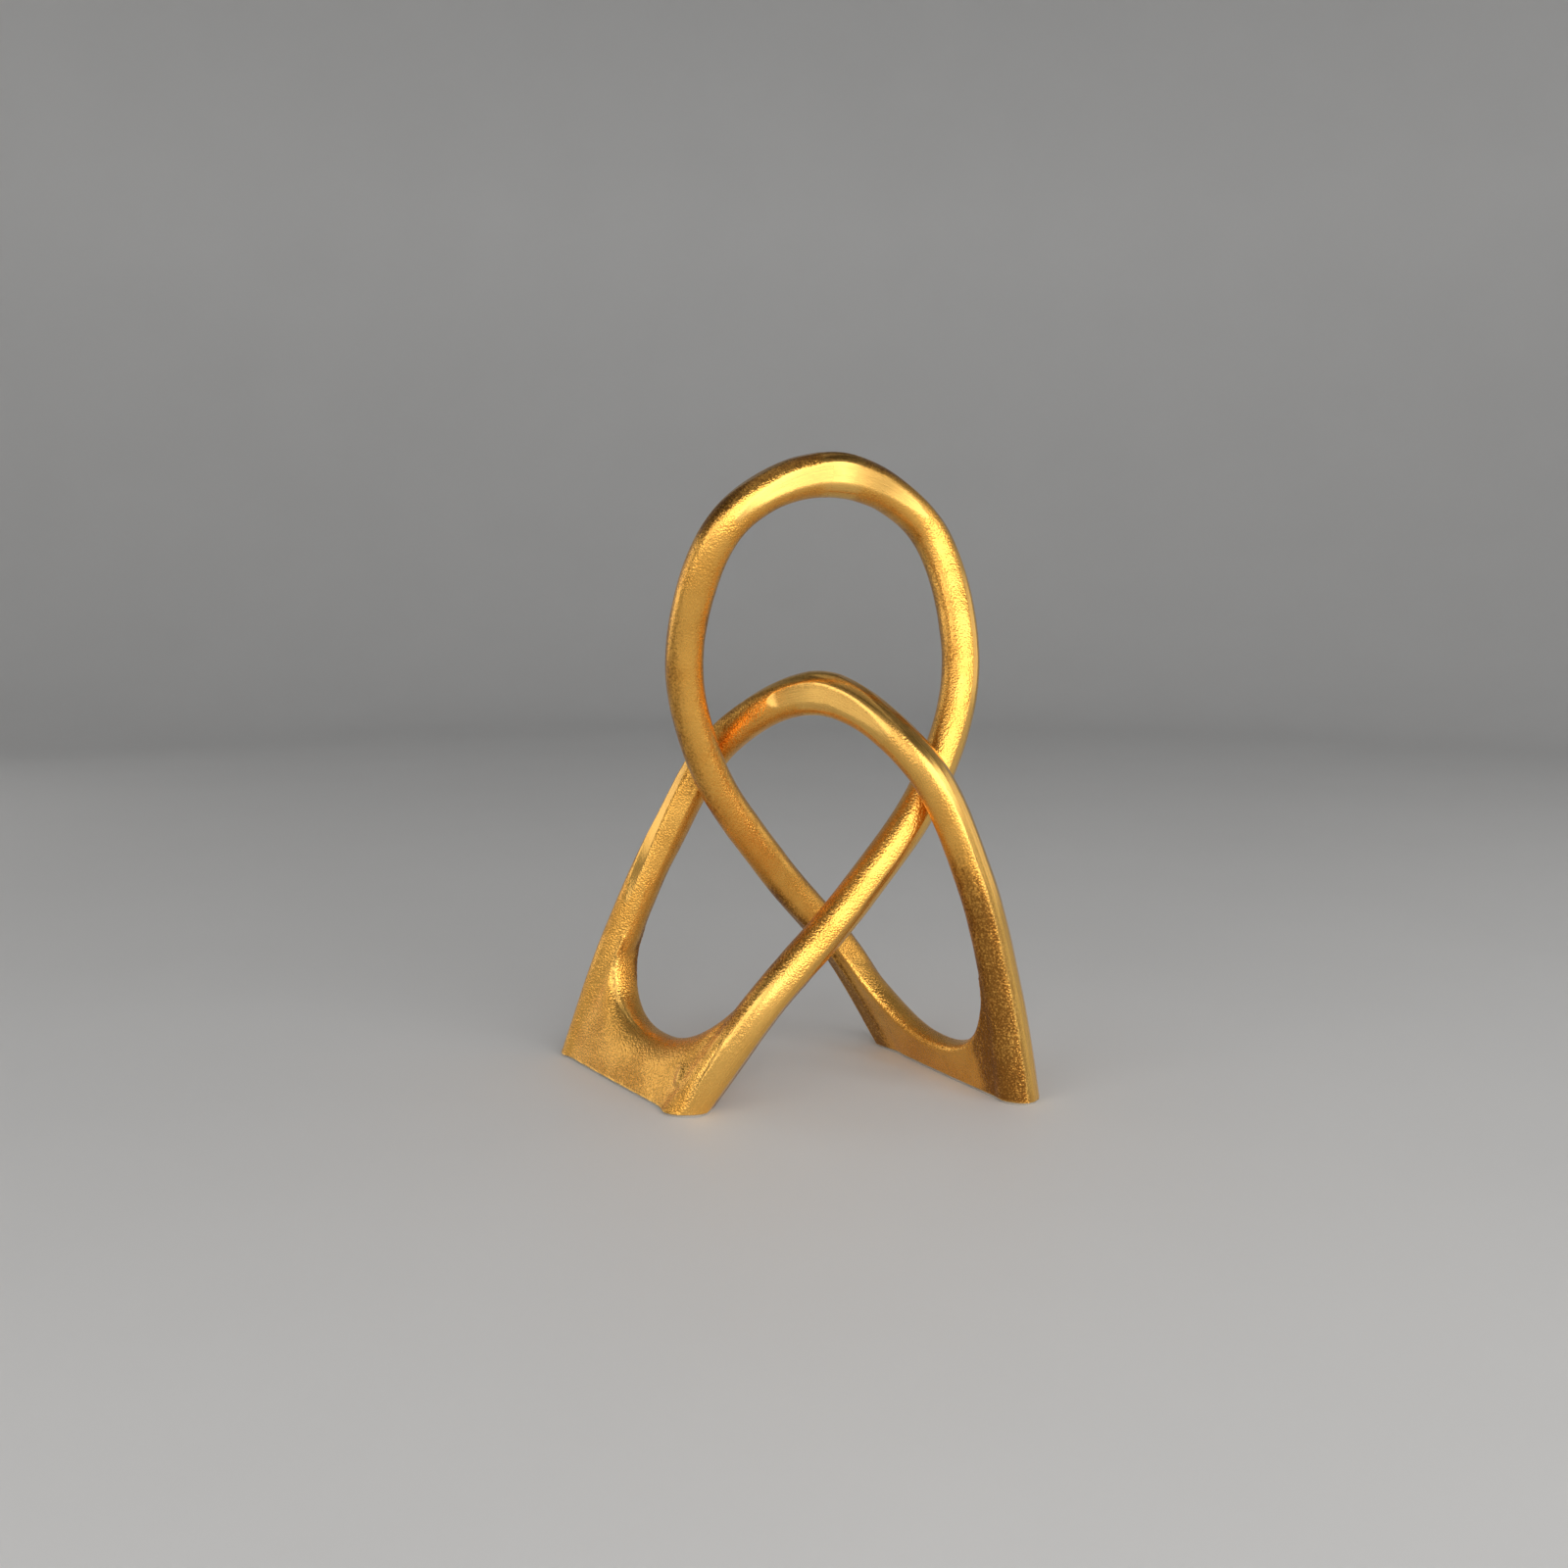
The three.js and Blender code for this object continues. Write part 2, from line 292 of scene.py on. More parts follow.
def between(values, low, high, soft):
    """1 between two values, falling to 0 over a distance outside them."""
    return step(values, low - soft, low) * (1.0 - step(values, high, high + soft))


def fading(distance, size, fade_length):
    """A size that fades smoothly to nothing over about a length."""
    return size * np.exp(-2.0 * (distance / fade_length) ** 2)


def dots(first, second):
    """The dot products of two lists of rows."""
    return np.einsum("ij,ij->i", first, second)


def turned(vectors, move):
    """Directions turned by a move."""
    return vectors @ np.array(move.to_3x3()).T


def moved(points, move):
    """Points carried by a move."""
    return turned(points, move) + np.array(move.translation)


def lengths_along(points):
    """How far along a line of points each of them lies."""
    return np.concatenate(([0.0], np.cumsum(np.linalg.norm(np.diff(points, axis=0), axis=1))))


def rows_at(distances, known, rows):
    """Rows read between the known distances."""
    return np.stack([np.interp(distances, known, column) for column in rows.T], axis=1)


def search_tree(points):
    """A tree that finds the nearest of some points."""
    tree = kdtree.KDTree(len(points))
    for i, point in enumerate(points):
        tree.insert(point, i)
    tree.balance()
    return tree


# Route of the bar.


def catmull_rom(points, first, steps):
    """Points on a smooth curve through the given ones, from the first-th of them on."""
    curve = []
    for i in range(first, len(points) - 1):
        before, start, end = points[i - 1], points[i], points[i + 1]
        after = points[i + 2] if i + 2 < len(points) else 2.0 * end - start
        leave = (end - before) / 2.0
        arrive = (after - start) / 2.0
        for t in np.arange(steps) / steps:
            curve.append(
                start
                + leave * t
                + (3.0 * (end - start) - 2.0 * leave - arrive) * t**2
                + (2.0 * (start - end) + leave + arrive) * t**3
            )
    curve.append(points[-1])
    return np.array(curve)


class Limb:
    """One half of a casting's bar, from a weld down past the floor, in the casting's own frame."""

    def __init__(self, top, points):
        points = [np.array(point) for point in points]
        leg = points[-1] - points[-2]
        past_floor = 2.0 * settings().foot.web_height
        under_floor = points[-1] + leg / np.linalg.norm(leg) * past_floor
        other_side = [points[1] * HALF_TURN, points[0] * HALF_TURN]
        knots = [*other_side, np.array(top), *points, under_floor]
        fine = catmull_rom(knots, len(other_side), SPAN_STEPS)
        reach = lengths_along(fine)
        self.distance = np.linspace(0.0, reach[-1], int(reach[-1] / ROUTE_STEP) + 1)
        self.origin = rows_at(self.distance, reach, fine)
        self.foot_distance = float(reach[-1 - SPAN_STEPS])
        self.carry_frames()

    def carry_frames(self):
        """Directions along the limb, carried without twist. The outer one starts upright."""
        self.tangent = np.gradient(self.origin, self.distance, axis=0)
        self.tangent[0, 2] = 0.0
        self.tangent /= np.linalg.norm(self.tangent, axis=1)[:, None]
        outer = np.array((0.0, 0.0, 1.0))
        self.outer = np.empty_like(self.origin)
        for i, tangent in enumerate(self.tangent):
            outer = outer - tangent * outer.dot(tangent)
            outer /= np.linalg.norm(outer)
            self.outer[i] = outer
        self.side = np.cross(self.tangent, self.outer)

    def half_sizes(self, distance):
        """Half the bar's width and depth so far from the top."""
        bar = settings().bar
        to_foot = np.maximum(self.foot_distance - distance, 0.0)
        at_top = fading(distance, bar.top_swell, bar.top_swell_length)
        at_foot = fading(to_foot, bar.foot_swell, bar.foot_swell_length)
        return (bar.width + at_top + at_foot) / 2.0, (bar.depth + at_foot / 2.0) / 2.0

    def frame_at(self, distances):
        """Middles, outer directions and side directions so far from the top."""
        return [rows_at(distances, self.distance, rows) for rows in (self.origin, self.outer, self.side)]

    def at_height(self, height):
        """Where the limb stands at given heights: it only falls from its top."""
        x, y, z = self.origin[::-1].T
        across = np.interp(height, z, x)
        back = np.interp(height, z, y)
        return np.stack((across, back, np.broadcast_to(height, across.shape)), axis=-1)


def loop_limb():
    """The limb that makes half of the loop and the front leg."""
    route = settings().route
    points = (
        route.loop_shoulder,
        route.loop_side,
        route.loop_waist,
        route.above_crossing,
        route.below_crossing,
        route.front_of_foot,
    )
    return Limb(route.loop_top, points)


def arch_limb(spread):
    """The limb that makes half of the arch and the rear leg, set out by a spread."""
    route = settings().route
    shin = Vector(route.arch_shin) - Vector((spread / 2.0, 0.0, 0.0))
    rear = Vector(route.rear_of_foot) - Vector((spread, 0.0, 0.0))
    return Limb(route.arch_top, (route.arch_shoulder, route.arch_thigh, shin, rear))


def standing(turn):
    """The move from a casting's own frame to the knot as it stands.

    After the turn comes the lean to the right, and then the lean to the viewer.
    """
    route = settings().route
    lean = Matrix.Rotation(route.lean_forward, 4, "X") @ Matrix.Rotation(route.lean_right, 4, "Y")
    return Matrix.Translation(route.shift) @ lean @ Matrix.Rotation(turn, 4, "Z")


# Node trees.


class Number:
    """A number that a node hands out. Each sum done with it adds a node to the tree."""

    def __init__(self, tree, socket):
        self.tree = tree
        self.socket = socket

    def __add__(self, other):
        return maths(self.tree, "ADD", self, other)

    def __sub__(self, other):
        return maths(self.tree, "SUBTRACT", self, other)

    def __rsub__(self, other):
        return maths(self.tree, "SUBTRACT", other, self)

    def __mul__(self, other):
        return maths(self.tree, "MULTIPLY", self, other)

    def __truediv__(self, other):
        return maths(self.tree, "DIVIDE", self, other)

    def __rtruediv__(self, other):
        return maths(self.tree, "DIVIDE", other, self)

    def changed(self, operation, *others):
        """The result of another kind of Math node."""
        return maths(self.tree, operation, self, *others)

    def ranged(self, low, high, to_low=0.0, to_high=1.0):
        """The number carried smoothly from one range to another."""
        inputs = {
            "Value": self,
            "From Min": low,
            "From Max": high,
            "To Min": to_low,
            "To Max": to_high,
        }
        kind = "ShaderNodeMapRange"
        return reading(self.tree, kind, "Result", inputs, interpolation_type="SMOOTHSTEP")


def feed(tree, socket, value):
    """Links an output to a socket, or sets the socket's value."""
    source = value.socket if isinstance(value, Number) else value
    if isinstance(source, bpy.types.NodeSocket):
        tree.links.new(source, socket)
    else:
        socket.default_value = source


def add(tree, kind, inputs=None, **values):
    """A new node with its settings and inputs. Inputs are named, or numbered where names repeat."""
    node = tree.nodes.new(kind)
    for name, value in values.items():
        setattr(node, name, value)
    for name, value in (inputs or {}).items():
        feed(tree, node.inputs[name], value)
    return node


def reading(tree, kind, output, inputs=None, **values):
    """The number that a new node hands out."""
    return Number(tree, add(tree, kind, inputs, **values).outputs[output])


def maths(tree, operation, *values):
    """The result of a Math node."""
    return reading(tree, "ShaderNodeMath", "Value", dict(enumerate(values)), operation=operation)


def vector_maths(tree, operation, *values):
    """The result of a Vector Math node with vector inputs."""
    node = add(tree, "ShaderNodeVectorMath", dict(enumerate(values)), operation=operation)
    return node.outputs["Vector"]


def scaled(tree, vector, factor):
    """A vector times a number."""
    inputs = {"Vector": vector, "Scale": factor}
    return add(tree, "ShaderNodeVectorMath", inputs, operation="SCALE").outputs["Vector"]


def new_geometry_tree(name, kinds):
    """A geometry tree with inputs of named kinds. Returns it with its inputs by name."""
    tree = bpy.data.node_groups.new(name, "GeometryNodeTree")
    tree.interface.new_socket("Geometry", in_out="OUTPUT", socket_type="NodeSocketGeometry")
    for label, kind in kinds.items():
        tree.interface.new_socket(label, in_out="INPUT", socket_type="NodeSocket" + kind)
    given = dict(tree.nodes.new("NodeGroupInput").outputs.items())
    for label, kind in kinds.items():
        if kind == "Float":
            given[label] = Number(tree, given[label])
    return tree, given


def end_geometry_tree(tree, geometry, material):
    """Closes a tree: instances made real, the material set, the result handed out."""
    real = add(tree, "GeometryNodeRealizeInstances", {"Geometry": geometry}).outputs["Geometry"]
    painted = add(tree, "GeometryNodeSetMaterial", {"Geometry": real, "Material": material})
    add(tree, "NodeGroupOutput", {"Geometry": painted.outputs["Geometry"]})


def swelling(distance, size, fade_length):
    """A size that fades smoothly to nothing over about a length."""
    share = distance / fade_length
    return (share * share * -2.0).changed("EXPONENT") * size


def rounded(wave, power, half):
    """One side of a superellipse, from the sine or cosine of its angle."""
    bulge = wave.changed("ABSOLUTE").changed("POWER", power)
    return wave.changed("SIGN") * bulge * half


def bar_sweep_tree():
    """The bar's swelling section carried along its route."""
    kinds = {
        "Route": "Geometry",
        **dict.fromkeys((*BAR_SIZES, "Foot Distance"), "Float"),
        "Sides": "Int",
        "Material": "Material",
    }
    tree, given = new_geometry_tree("knot_bar_sweep", kinds)
    along = reading(tree, "GeometryNodeSplineParameter", "Length")
    to_foot = (given["Foot Distance"] - along).changed("MAXIMUM", 0.0)
    at_top = swelling(along, given["Top Swell"], given["Top Swell Length"])
    at_foot = swelling(to_foot, given["Foot Swell"], given["Foot Swell Length"])
    tangent = add(tree, "GeometryNodeInputTangent").outputs["Tangent"]
    across = add(tree, "GeometryNodeInputNormal").outputs["Normal"]
    rail = add(tree, "GeometryNodeCaptureAttribute", {"Geometry": given["Route"]})
    for label, kind, value in (
        ("Middle", "VECTOR", add(tree, "GeometryNodeInputPosition").outputs["Position"]),
        ("Across", "VECTOR", across),
        ("Outward", "VECTOR", vector_maths(tree, "CROSS_PRODUCT", across, tangent)),
        ("Half Width", "FLOAT", (given["Width"] + at_top + at_foot) * 0.5),
        ("Half Depth", "FLOAT", (at_foot * 0.5 + given["Depth"]) * 0.5),
    ):
        rail.capture_items.new(kind, label)
        feed(tree, rail.inputs[label], value)
    carried = rail.outputs
    circle = add(
        tree, "GeometryNodeCurvePrimitiveCircle", {"Resolution": given["Sides"], "Radius": 8.0 * MM}
    )
    ring = add(tree, "GeometryNodeCaptureAttribute", {"Geometry": circle.outputs["Curve"]})
    ring.capture_items.new("FLOAT", "Turn")
    feed(tree, ring.inputs["Turn"], reading(tree, "GeometryNodeSplineParameter", "Factor"))
    tube = add(
        tree,
        "GeometryNodeCurveToMesh",
        {
            "Curve": carried["Geometry"],
            "Profile Curve": ring.outputs["Geometry"],
            "Fill Caps": True,
        },
    )
    angle = Number(tree, ring.outputs["Turn"]) * (-2.0 * math.pi)
    power = 2.0 / given["Squareness"]
    out = rounded(angle.changed("COSINE"), power, carried["Half Width"])
    aside = rounded(angle.changed("SINE"), power, carried["Half Depth"])
    offset = vector_maths(
        tree,
        "ADD",
        scaled(tree, carried["Outward"], out),
        scaled(tree, carried["Across"], aside),
    )
    shaped = add(
        tree,
        "GeometryNodeSetPosition",
        {
            "Geometry": tube.outputs["Mesh"],
            "Position": vector_maths(tree, "ADD", carried["Middle"], offset),
        },
    )
    end_geometry_tree(tree, shaped.outputs["Geometry"], given["Material"])
    return tree


def cast_skin_tree():
    """Sand-cast grain and the pattern's unevenness over a smooth casting.

    The point attribute "ground" is 1 where a belt or a floor has made the metal smooth.
    """
    kinds = {
        "Casting": "Geometry",
        **dict.fromkeys((*SKIN_SIZES, "Seed"), "Float"),
        "Material": "Material",
    }
    tree, given = new_geometry_tree("knot_cast_skin", kinds)
    position = add(tree, "GeometryNodeInputPosition").outputs["Position"]

    def seeded(seed, scale, detail, roughness):
        """Noise of a seed over the casting, from 0 to 1."""
        inputs = {
            "Vector": position,
            "W": seed,
            "Scale": scale,
            "Detail": detail,
            "Roughness": roughness,
        }
        return reading(tree, "ShaderNodeTexNoise", "Fac", inputs, noise_dimensions="4D")

    ground = reading(
        tree, "GeometryNodeInputNamedAttribute", "Attribute", {"Name": "ground"}, data_type="FLOAT"
    )
    rough = 1.0 - ground
    seed = given["Seed"]
    grain = seeded(seed, 1.0 / given["Grain Size"], 1.5, 0.6)
    patch = seeded(seed + 3.0, 0.35 / given["Grain Size"], 1.0, 0.5)
    wave = seeded(seed + 11.0, 1.0 / given["Wave Size"], 1.0, 0.5)
    height = reading(tree, "ShaderNodeSeparateXYZ", "Z", {"Vector": position})
    coarse = height.ranged(0.03, 0.10, 0.8, 0.32)
    grain_height = given["Grain Height"] * patch.ranged(0.25, 0.7, 0.45, 1.3) * coarse
    lift = (grain - 0.5) * grain_height * 2.0 * rough
    swell = (wave - 0.5) * given["Wave Height"] * rough.ranged(0.0, 1.0, 0.1, 1.0)
    normal = add(tree, "GeometryNodeInputNormal").outputs["Normal"]
    inputs = {"Geometry": given["Casting"], "Offset": scaled(tree, normal, lift + swell)}
    lifted = add(tree, "GeometryNodeSetPosition", inputs).outputs["Geometry"]
    smooth = add(tree, "GeometryNodeSetShadeSmooth", {0: lifted}).outputs[0]
    end_geometry_tree(tree, smooth, given["Material"])
    return tree


# Finishes.


def noise(tree, vector, scale, detail, roughness):
    """Noise over a vector, from 0 to 1."""
    inputs = {"Vector": vector, "Scale": scale, "Detail": detail, "Roughness": roughness}
    return reading(tree, "ShaderNodeTexNoise", "Fac", inputs)


def blend(tree, share, low, high):
    """A colour mixed from two others."""
    node = add(tree, "ShaderNodeMix", data_type="RGBA", clamp_factor=True)
    share_socket, low_socket, high_socket = node.inputs[0], node.inputs[6], node.inputs[7]
    feed(tree, share_socket, share)
    feed(tree, low_socket, low)
    feed(tree, high_socket, high)
    return node.outputs[2]


def opaque(values, shares=(1.0, 1.0, 1.0)):
    """A colour, or shares of its parts, with its alpha."""
    return (*(share * value for share, value in zip(shares, values)), 1.0)


def new_material(name):
    """A bare material, its tree, its shader and the place on the piece."""
    material = bpy.data.materials.new(name)
    material.use_nodes = True
    tree = material.node_tree
    place_on = add(tree, "ShaderNodeTexCoord").outputs["Object"]
    return material, tree, tree.nodes["Principled BSDF"], place_on


def add_bump(tree, shader, height, strength, distance):
    """Gives a shader its relief."""
    inputs = {"Height": height, "Strength": strength, "Distance": distance}
    bump = add(tree, "ShaderNodeBump", inputs)
    feed(tree, shader.inputs["Normal"], bump.outputs["Normal"])


def cast_gold(name):
    """Gold lacquer over sand-cast grain, with ground strips and dressed patches."""
    finish = settings().finish
    material, tree, shader, place_on = new_material(name)
    shader.inputs["Metallic"].default_value = 1.0
    # Two of these marks paint shade: the corner depth between the legs, and part of the darkened places.
    ground, pit_wash_and_corner_shade, browned_and_shaded, around, along = (
        reading(tree, "ShaderNodeAttribute", "Fac", attribute_name=label)
        for label in ("ground", "pit_wash_and_corner_shade", "patina_and_painted_shade", "around", "along")
    )
    rough = 1.0 - ground

    # Textures: the grain, its fine part, specks and patches, and marks drawn out along the bar.
    inputs = {"Vector": place_on, "Scale": 1150.0, "Smoothness": 0.35, "Randomness": 1.0}
    pebble = reading(tree, "ShaderNodeTexVoronoi", "Distance", inputs, feature="SMOOTH_F1")
    fine = noise(tree, place_on, 2400.0, 2.0, 0.6)
    speck = noise(tree, place_on, 950.0, 3.0, 0.65)
    patches = noise(tree, place_on, 55.0, 2.0, 0.5)
    strokes = add(tree, "ShaderNodeCombineXYZ", {"X": around, "Y": along * 0.03}).outputs["Vector"]
    stroke = noise(tree, strokes, 1700.0, 2.0, 0.6)
    wipes = vector_maths(tree, "MULTIPLY", strokes, (1.0, 5.0, 1.0))
    streak = noise(tree, wipes, 420.0, 2.0, 0.55)
    height = reading(tree, "ShaderNodeSeparateXYZ", "Z", {"Vector": place_on})
    coarse = height.ranged(0.03, 0.10, 0.75, 0.42)
    valley = pebble.ranged(0.25, 0.6) * coarse

    # Colour: darker in the grain's pits as a dark wash, in the corners between the legs as painted
    # shade, and in the darkened places as brownish lacquer and painted shade and reflection; orange in
    # patches, brighter where ground.
    dark = speck * 0.9 + pit_wash_and_corner_shade + patches * 0.6 + valley * 0.15
    dark = dark + browned_and_shaded * (valley * 0.3 + 0.3 + speck * 0.8)
    dark = dark + (streak - 0.5) * 0.7
    dark = dark.ranged(0.95, 1.8) * (browned_and_shaded * ground * 0.75 + rough)
    orange = opaque(finish.gold, (0.92, 0.86, 0.75))
    lacquer = blend(tree, patches.ranged(0.35, 0.7), opaque(finish.gold), orange)
    worn = blend(tree, ground * 0.8, lacquer, opaque(finish.bright_gold))
    base = blend(tree, dark * 0.85, worn, opaque(finish.deep_gold_and_painted_shade))
    feed(tree, shader.inputs["Base Color"], base)

    # Gloss: broken on the grain, satin along the belt marks.
    cast_gloss = fine.ranged(0.25, 0.75, 0.19, 0.33)
    belt_gloss = stroke.ranged(0.3, 0.7, 0.22, 0.30)
    feed(tree, shader.inputs["Roughness"], cast_gloss * rough + belt_gloss * ground)

    # Relief: sand grain, coarser near the floor, and faint belt marks where ground.
    coarse = coarse * patches.ranged(0.3, 0.7, 0.6, 1.25)
    grain = (pebble * -0.95 + fine * 0.16) * coarse + fine * 0.08
    add_bump(tree, shader, grain * rough + stroke * ground * 0.02, 1.0, 0.45 * MM)
    return material


def rubber_sheet(name):
    """Pale grey sheet rubber with a fine speckle."""
    grey = settings().finish.pad_grey
    material, tree, shader, place_on = new_material(name)
    speckle = noise(tree, place_on, 2200.0, 3.0, 0.6)
    cloud = noise(tree, place_on, 90.0, 2.0, 0.5)
    shade = (speckle * 0.6 + cloud * 0.4).ranged(0.3, 0.65)
    base = blend(tree, shade, opaque(grey, (0.6, 0.6, 0.6)), opaque(grey))
    feed(tree, shader.inputs["Base Color"], base)
    feed(tree, shader.inputs["Roughness"], cloud.ranged(0.3, 0.7, 0.75, 0.95))
    add_bump(tree, shader, speckle, 0.4, 0.05 * MM)
    return material


def pale_backdrop(name):
    """Matt pale paint, very slightly clouded."""
    pale = settings().stage.floor_colour
    material, tree, shader, place_on = new_material(name)
    cloud = noise(tree, place_on, 6.0, 2.0, 0.5)
    base = blend(tree, cloud, opaque(pale), opaque(pale, (1.05, 1.05, 1.05)))
    feed(tree, shader.inputs["Base Color"], base)
    shader.inputs["Roughness"].default_value = 0.55
    return material


# Meshes.


def in_scene(name, data):
    """A new object in the scene."""
    item = bpy.data.objects.new(name, data)
    bpy.context.scene.collection.objects.link(item)
    return item


def finish_piece(name, mesh, node):
    """Puts a finished mesh in the scene for a CAD node."""
    if name in bpy.data.objects:
        raise RuntimeError(f"{name} was made twice")
    piece = in_scene(name, mesh)
    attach(piece, "root")
    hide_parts(node)


def plain_mesh(source, name):
    """The mesh of an object with its modifiers, and the object removed."""
    depsgraph = bpy.context.evaluated_depsgraph_get()
    mesh = bpy.data.meshes.new_from_object(
        source.evaluated_get(depsgraph), preserve_all_data_layers=True, depsgraph=depsgraph
    )
    mesh.name = name
    data = source.data
    bpy.data.objects.remove(source)
    if isinstance(data, bpy.types.Mesh):
        bpy.data.meshes.remove(data)
    else:
        bpy.data.curves.remove(data)
    if not mesh.polygons:
        raise RuntimeError(f"{name} came out empty")
    return mesh


def with_tree(data, tree, values, name):
    """The plain mesh that a geometry tree makes of some object data."""
    source = in_scene(name, data)
    modifier = source.modifiers.new("tree", "NODES")
    modifier.node_group = tree
    for item in tree.interface.items_tree:
        if item.in_out == "INPUT" and item.name in values:
            modifier[item.identifier] = values[item.name]
    return plain_mesh(source, name)


@contextmanager
def edited(mesh):
    """Opens a mesh for editing and writes it back."""
    work = bmesh.new()
    work.from_mesh(mesh)
    yield work
    work.to_mesh(mesh)
    work.free()


def mesh_from(name, points, faces):
    """A mesh of points and faces."""
    mesh = bpy.data.meshes.new(name)
    mesh.from_pydata([tuple(point) for point in points], [], faces)
    return mesh


def closed_mesh(name, points, faces):
    """A mesh with equal points joined and its faces turned outwards."""
    mesh = mesh_from(name, points, faces)
    with edited(mesh) as work:
        bmesh.ops.remove_doubles(work, verts=work.verts, dist=1e-7)
        bmesh.ops.recalc_face_normals(work, faces=work.faces)
    return mesh


def ring_faces(rows, sides):
    """Faces over a row of equal closed rings, with a cap on each end."""
    faces = []
    for r in range(rows - 1):
        for i in range(sides):
            j = (i + 1) % sides
            faces.append((r * sides + i, r * sides + j, (r + 1) * sides + j, (r + 1) * sides + i))
    faces.append(tuple(range(sides))[::-1])
    faces.append(tuple(range((rows - 1) * sides, rows * sides)))
    return faces


def points_of(mesh):
    """A mesh's points as rows."""
    points = np.empty(len(mesh.vertices) * 3)
    mesh.vertices.foreach_get("co", points)
    return points.reshape(-1, 3)


def normals_of(mesh):
    """A mesh's point normals as rows."""
    normals = np.empty(len(mesh.vertices) * 3)
    mesh.vertex_normals.foreach_get("vector", normals)
    return normals.reshape(-1, 3)


def move_points(mesh, points):
    """Sets a mesh's points."""
    mesh.vertices.foreach_set("co", points.ravel())
    mesh.update()


def store(mesh, name, values):
    """Keeps a number on each point of a mesh."""
    layer = mesh.attributes.get(name) or mesh.attributes.new(name, "FLOAT", "POINT")
    layer.data.foreach_set("value", np.asarray(values, dtype=np.float32))


def softened(mesh, values, times):
    """Values on a mesh's points, each averaged with its neighbours a number of times."""
    ends = np.empty(len(mesh.edges) * 2, dtype=np.int64)
    mesh.edges.foreach_get("vertices", ends)
    a, b = ends[0::2], ends[1::2]
    columns = values.reshape(len(values), -1)
    count = np.bincount(a, minlength=len(values)) + np.bincount(b, minlength=len(values))
    for _ in range(times):
        total = np.empty_like(columns)
        for column in range(columns.shape[1]):
            total[:, column] = np.bincount(a, columns[b, column], len(values))
            total[:, column] += np.bincount(b, columns[a, column], len(values))
        columns = 0.5 * columns + 0.5 * total / np.maximum(count, 1)[:, None]
    return columns.reshape(values.shape)


def bar_mesh(limb, tree, name):
    """One limb's bar as a plain mesh, in the casting's own frame."""
    curve = bpy.data.curves.new(name + "_route", "CURVE")
    curve.dimensions = "3D"
    spline = curve.splines.new("POLY")
    spline.points.add(len(limb.origin) - 1)
    weighted = np.column_stack((limb.origin, np.ones(len(limb.origin))))
    spline.points.foreach_set("co", weighted.ravel())
    values = sizes_of(settings().bar, BAR_SIZES)
    values.update({"Foot Distance": limb.foot_distance, "Sides": 64})
    return with_tree(curve, tree, values, name)


def web_mesh(rear, front, name):
    """The wall between two legs with its rounded U-shaped rim, in the casting's own frame."""
    foot = settings().foot
    edge_steps, rim_steps, wall_steps = 40, 24, 14
    rise_in_leg, thinning = 0.6, 0.25
    turns = np.pi / 2.0 * np.arange(edge_steps + 1) / edge_steps
    climbs = np.sin(turns) ** (2.0 / foot.web_curve)
    rises = 1.0 - np.maximum(np.cos(turns), 0.0) ** (2.0 / foot.web_curve)
    to_rear = foot.web_low_point - (foot.web_low_point - foot.leg_share) * climbs
    to_front = foot.web_low_point + (1.0 - foot.leg_share - foot.web_low_point) * climbs
    places = np.concatenate(([0.0], to_rear[::-1], to_front[1:], [1.0]))
    tops = np.concatenate(
        (
            [rise_in_leg * foot.rise_rear],
            foot.rise_rear * rises[::-1],
            foot.rise_front * rises[1:],
            [rise_in_leg * foot.rise_front],
        )
    )
    angles = np.pi * np.arange(rim_steps + 1) / rim_steps
    rim = np.where(np.cos(angles) > 0.0, foot.inner_rim, foot.outer_rim)
    facing = np.concatenate((np.cos(angles), np.full(wall_steps, -1.0), np.ones(wall_steps)))
    points = []
    for along, top in zip(places, foot.web_height + tops):
        half = ((1.0 - along) * foot.web_rear + along * foot.web_front) / 2.0
        in_leg = 1.0 - step(min(along, 1.0 - along), 0.0, 2.5 * foot.leg_share)
        run = front.at_height(top) - rear.at_height(top)
        across = np.array((-run[1], run[0], 0.0))
        across /= np.linalg.norm(across)
        walls = np.linspace(top - foot.outer_rim, -foot.web_height, wall_steps + 1)[1:]
        heights = np.concatenate((top - rim * (1.0 - np.sin(angles)), walls, walls[::-1]))
        outer_thinned = step(heights, 12.0 * MM, 36.0 * MM)
        inner_thinned = step(heights, 34.0 * MM, 54.0 * MM)
        thinned = thinning * in_leg * np.where(facing < 0.0, outer_thinned, inner_thinned)
        aside = facing * half * (1.0 - thinned)
        middle = (1.0 - along) * rear.at_height(heights) + along * front.at_height(heights)
        points.append(middle + aside[:, None] * across)
    return closed_mesh(name, np.concatenate(points), ring_faces(len(points), len(facing)))


def fused_mesh(meshes, face_size, name):
    """Overlapping closed meshes made one even skin."""
    joined = bpy.data.meshes.new(name)
    with edited(joined) as work:
        for mesh in meshes:
            work.from_mesh(mesh)
    source = in_scene(name, joined)
    remesh = source.modifiers.new("skin", "REMESH")
    remesh.mode = "VOXEL"
    remesh.voxel_size = face_size
    return plain_mesh(source, name)


def fill_corners(mesh, times, passes):
    """Fills the inner corners between a casting's limbs and web, as the pattern maker did."""
    for _ in range(passes):
        points = points_of(mesh)
        towards = softened(mesh, points, times) - points
        rise = dots(towards, normals_of(mesh))
        share = step(rise, 0.02 * MM, 0.30 * MM)
        move_points(mesh, points + towards * share[:, None])


